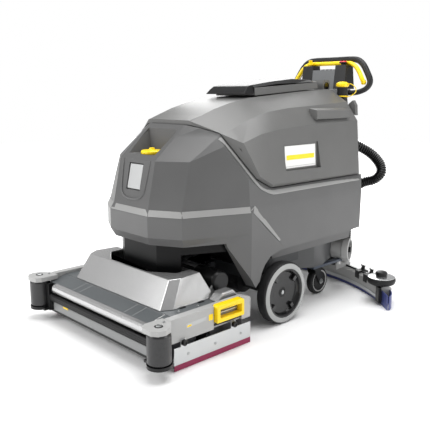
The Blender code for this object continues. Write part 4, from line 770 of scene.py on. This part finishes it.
# The blades' arc before the squeegee's arm is swung, and the arm's pivot and its swing at rest.
ARC_RADIUS, ARC_CENTRE_Y = 0.904, -0.152
SWING_PIVOT_Y, SWING = -0.075, math.radians(-14.0)


def on_arc(degrees, reach, z):
    """A point of the squeegee: an angle along its arc, a distance out from the front blade and a height."""
    angle, radius = math.radians(degrees), ARC_RADIUS + reach
    x, y = radius * math.sin(angle), ARC_CENTRE_Y + radius * math.cos(angle)
    cos, sin = math.cos(SWING), math.sin(SWING)
    return (x * cos - y * sin, x * sin + y * cos + SWING_PIVOT_Y, z)


def arc_bar(section, low, high):
    """A section of (reach, z) carried along the squeegee's arc, with a ring of points at each half degree."""
    angles = np.linspace(low, high, max(2, int(round((high - low) * 2)) + 1))
    points = np.array([[on_arc(degrees, reach, z) for reach, z in section] for degrees in angles])
    return outward(points.reshape(-1, 3), grid_faces(len(angles), len(section)))


# Sections across the squeegee are rows of (reach, z); profiles are rows of (radius, height).
CLAMP = [(-0.0110, 0.0560), (-0.0080, 0.0560), (-0.0080, 0.0870), (0.0200, 0.0890), (0.0400, 0.0840),
         (0.0430, 0.0600), (0.0455, 0.0600), (0.0430, 0.0920), (0.0200, 0.0965), (-0.0110, 0.0930)]
WING_NUT = [(0, 0.0210), (0.0040, 0.0205), (0.0055, 0.0120), (0.0095, 0.0080), (0.0100, -0.001), (0, -0.001)]
BUMPER_TOP = [(0.0235, 0.0176), (0.0250, 0.0182), (0.0450, 0.0164), (0.0575, 0.0150), (0.0600, 0.0140),
              (0.0600, 0.0128), (0.0235, 0.0165)]
BUMPER_KNOB = [(0, 0.0388), (0.0170, 0.0385), (0.0235, 0.0360), (0.0262, 0.0320), (0.0262, 0.0240),
               (0.0225, 0.0180), (0, 0.0180)]


def upright(near, far, low, high):
    """A section between two reaches and two heights."""
    return [(near, low), (far, low), (far, high), (near, high)]


def make_squeegee_trim():
    """The rail along the beam's top, its clamps and wing nuts, the end brackets and the bumpers' bright tops."""
    section = [(0.0100 + 0.0042 * math.cos(turn), 0.0885 + 0.0042 * math.sin(turn))
               for turn in np.radians(np.arange(0, 360, 45))]
    piece("beam_rod", arc_bar(section, -22.5, 22.5), BLACK, "squeegee")
    lip = arc_bar(upright(-0.0100, -0.0078, 0.0180, 0.0330), -23.8, 23.8)
    crest = arc_bar([(0.0170, 0.0842), (0.0310, 0.0842), (0.0290, 0.0885), (0.0190, 0.0885)], -23.4, 23.4)
    soften(piece("beam_lip", together(lip, crest), ALUMINIUM, "squeegee"), 0.5, 2)
    clamps, nuts = [], []
    for degrees in (-17.5, -9.0, 9.0, 13.5):
        clamps.append(arc_bar(CLAMP, degrees - 1.0, degrees + 1.0))
        spot = np.array(on_arc(degrees, 0.024, 0.096))
        nuts.append(turned(WING_NUT, spot, (0, 0, 1), 20))
        tangent = on_arc(degrees + 1, 0.024, 0.096) - spot
        tangent /= np.linalg.norm(tangent)
        for way in (1, -1):
            wing = route([spot + tangent * way * out + (0, 0, up)
                          for out, up in ((0, 0.008), (0.009, 0.013), (0.015, 0.022))], 10)
            nuts.append(swept(wing, np.linspace(0.0042, 0.0030, 10), 10, 0.5))
    soften(piece("beam_clamps", together(*clamps), BLACK, "squeegee"), 0.8, 2)
    piece("wing_nuts", together(*nuts), BLACK, "squeegee")
    bracket = upright(-0.0230, -0.0098, 0.0120, 0.0840)
    brackets = [arc_bar(bracket, 22.6, 25.0), arc_bar(bracket, -25.0, -22.6)]
    soften(piece("end_brackets", together(*brackets), BLACK, "squeegee"), 1.5, 3)
    ribs = []
    for way in (1, -1):
        for degrees in (26.6, 27.4, 28.2):
            curl = 0.030 * ((degrees - 24) / 5) ** 2
            rib = upright(0.0332 - curl, 0.0345 - curl, 0.004, 0.0655)
            ribs.append(arc_bar(rib, *sorted((way * degrees, way * (degrees + 0.35)))))
    piece("blade_ribs", together(*ribs), BLUE, "squeegee", smooth=False)
    for _, word in SIDES:
        body = f"squeegee_bumper_{word}"
        centre = middle(body) - MACHINE
        centre[2] = 0.106
        piece(f"bumper_top_{word}", turned(BUMPER_TOP, centre, steps=72), BRIGHT, body)
        soften(piece(f"bumper_knob_{word}", turned(BUMPER_KNOB, centre, steps=14), BLACK, body), 1.5, 3)


# ---------------------------------------------------------------- handle and console


# Half of the loop's line, from the middle of its top round to the console.
LOOP_HALF = [(0.020, 0.7800, 1.1030), (0.110, 0.7790, 1.1030), (0.150, 0.7770, 1.0970), (0.180, 0.7750, 1.0760),
             (0.205, 0.7720, 1.0410), (0.226, 0.7680, 1.0030), (0.2265, 0.7630, 0.9780), (0.212, 0.7540, 0.9580),
             (0.186, 0.7410, 0.9450), (0.160, 0.7320, 0.9400), (0.1365, 0.7300, 0.9400)]


def whole(half, count):
    """A smooth curve through half a line's points and their mirror images."""
    return route([(-x, y, z) for x, y, z in reversed(half)] + half, count)


def make_handle_trim():
    """The rubber grip, the pull lever, the console's display and buttons, and the face of the tank's socket."""
    loop = whole(LOOP_HALF, 140)
    thick = 0.0128 + 0.0022 * np.clip((loop[:, 2] - 0.96) / 0.05, 0, 1)
    piece("handle_grip", swept(loop, thick, 24), GRIP, "chassis", ["handle_loop"])
    end = (0.205, *LEVER_PIVOT)
    bar = whole([(x * 0.9, y - 0.031, 1.0 + (z - 1.0) * 0.82) for x, y, z in LOOP_HALF[:6]] + [end], 110)
    boss = [(0, 0), (0.0115, 0), (0.0115, 0.0150), (0, 0.0150)]
    bosses = [turned(boss, (side * 0.1965, *LEVER_PIVOT), (side, 0, 0), 24) for side, _ in SIDES]
    piece("pull_lever", together(swept(bar, 0.0105, 20), *bosses), YELLOW, "drive_lever", ["drive_lever"])
    display = plate([(-0.0480, 1.0555), (0.0480, 1.0555), (0.0480, 1.0545), (-0.0480, 1.0545)], "Y", 0.706, 0.744)
    button = [(0, 0.0034), (0.0058, 0.0030), (0.0066, 0.0012), (0.0066, -0.001), (0, -0.001)]
    buttons = [turned(button, (x, 0.7465, 1.0522), (0, 0.1, 1), 24) for x in (-0.036, -0.012, 0.012, 0.036)]
    piece("console_display", display, GLOSS_BLACK, "chassis", smooth=False)
    piece("console_buttons", together(*buttons), LIGHT, "chassis")
    ends = [bolt((side * 0.205, 0.7565, 0.990), (0, 1, 0), 0.0060, 0.0020) for side, _ in SIDES]
    piece("lever_screws", together(*ends), STEEL, "drive_lever")
    dark = [(0, 0.0004), (0.0150, 0.0004), (0.0150, -0.0010), (0, -0.0010)]
    ring = [(0.0150, 0.0022), (0.0180, 0.0022), (0.0190, -0.0010), (0.0150, -0.0010)]
    piece("socket_face", turned(dark, SOCKET_SPOT, (1, 0, 0), 32), GLOSS_BLACK, "tank")
    piece("socket_ring", turned(ring, SOCKET_SPOT, (1, 0, 0), 32), BLACK, "tank")


for make in (make_head_trim, make_side_trim, make_tufts, make_wheel_trim, make_body_trim, make_seam_bands,
             make_belt_band, make_front_frame, make_shrouds, make_drain_strap, make_hoses, make_squeegee_trim,
             make_handle_trim):
    make()


# ---------------------------------------------------------------- light, floor and camera


def keep_on_stage(made):
    """Links an object that belongs to the picture and not to the machine."""
    bpy.context.scene.collection.objects.link(made)


def make_floor():
    """A white paper floor that glows more with distance, so that it runs into the white world with no horizon."""
    half = 9.0
    mesh = bpy.data.meshes.new("floor")
    mesh.from_pydata([(-half, -half, 0), (half, -half, 0), (half, half, 0), (-half, half, 0)], [], [(0, 1, 2, 3)])
    paper = bpy.data.materials.new("white_studio_paper")
    paper.use_nodes = True
    tree = paper.node_tree
    shader = tree.nodes["Principled BSDF"]
    shader.inputs["Base Color"].default_value = linear("ffffff")
    shader.inputs["Roughness"].default_value = 0.85
    shader.inputs["Emission Color"].default_value = (1, 1, 1, 1)
    place = add_node(tree, "ShaderNodeTexCoord")
    away = add_node(tree, "ShaderNodeVectorMath", {"operation": "LENGTH"}, Vector=(place, "Object"))
    glow = add_node(tree, "ShaderNodeMapRange", {"interpolation_type": "SMOOTHSTEP"}, Value=(away, "Value"),
                    From_Min=0.9, From_Max=3.0, To_Min=0.0, To_Max=1.0)
    tree.links.new(glow.outputs["Result"], shader.inputs["Emission Strength"])
    mesh.materials.append(paper)
    keep_on_stage(bpy.data.objects.new("floor", mesh))


def make_world():
    """A world that looks white to the camera and lights the machine more dimly."""
    world = bpy.data.worlds.new("studio")
    world.use_nodes = True
    tree = world.node_tree
    dim = tree.nodes["Background"]
    dim.inputs["Color"].default_value = (1, 1, 1, 1)
    dim.inputs["Strength"].default_value = AMBIENT
    bright = add_node(tree, "ShaderNodeBackground", Strength=1.0, Color=(1, 1, 1, 1))
    ray = add_node(tree, "ShaderNodeLightPath")
    mixed = add_node(tree, "ShaderNodeMixShader", i0=(ray, "Is Camera Ray"), i1=(dim, "Background"),
                     i2=(bright, "Background"))
    tree.links.new(mixed.outputs["Shader"], tree.nodes["World Output"].inputs["Surface"])
    bpy.context.scene.world = world


def make_lights():
    """Four soft square lights, each turned to the machine's middle: place and side in metres, power in watts."""
    centre = Vector((0, 0, 0.5))
    for name, spot, size, power in (
        ("top_light", (0.3, 0.2, 3.6), 2.6, 112),
        ("front_light", (-1.4, -3.2, 2.2), 2.2, 70),
        ("side_light", (3.4, 1.4, 1.5), 1.6, 30),
        ("rear_light", (-2.6, 3.0, 2.4), 2.4, 60),
    ):
        light = bpy.data.lights.new(name, "AREA")
        light.size = size
        light.energy = power
        lamp = bpy.data.objects.new(name, light)
        lamp.location = spot
        lamp.rotation_euler = (centre - Vector(spot)).to_track_quat("-Z", "Y").to_euler()
        keep_on_stage(lamp)


def make_camera():
    """The camera stands to the front left of the machine and looks a little down on it."""
    camera = bpy.data.cameras.new("camera")
    camera.lens = 50.83
    camera.sensor_width = 36
    viewer = bpy.data.objects.new("camera", camera)
    azimuth, down = math.radians(46.30), math.radians(11.377)
    viewer.location = Vector(at(1.890, -1.863, 0.940))
    sight = Vector((-math.sin(azimuth) * math.cos(down), math.cos(azimuth) * math.cos(down), -math.sin(down)))
    viewer.rotation_euler = sight.to_track_quat("-Z", "Y").to_euler()
    bpy.context.scene.collection.objects.link(viewer)
    bpy.context.scene.camera = viewer
    bpy.context.scene.view_settings.view_transform = "Standard"


make_floor()
make_world()
make_lights()
make_camera()
bpy.context.view_layer.update()
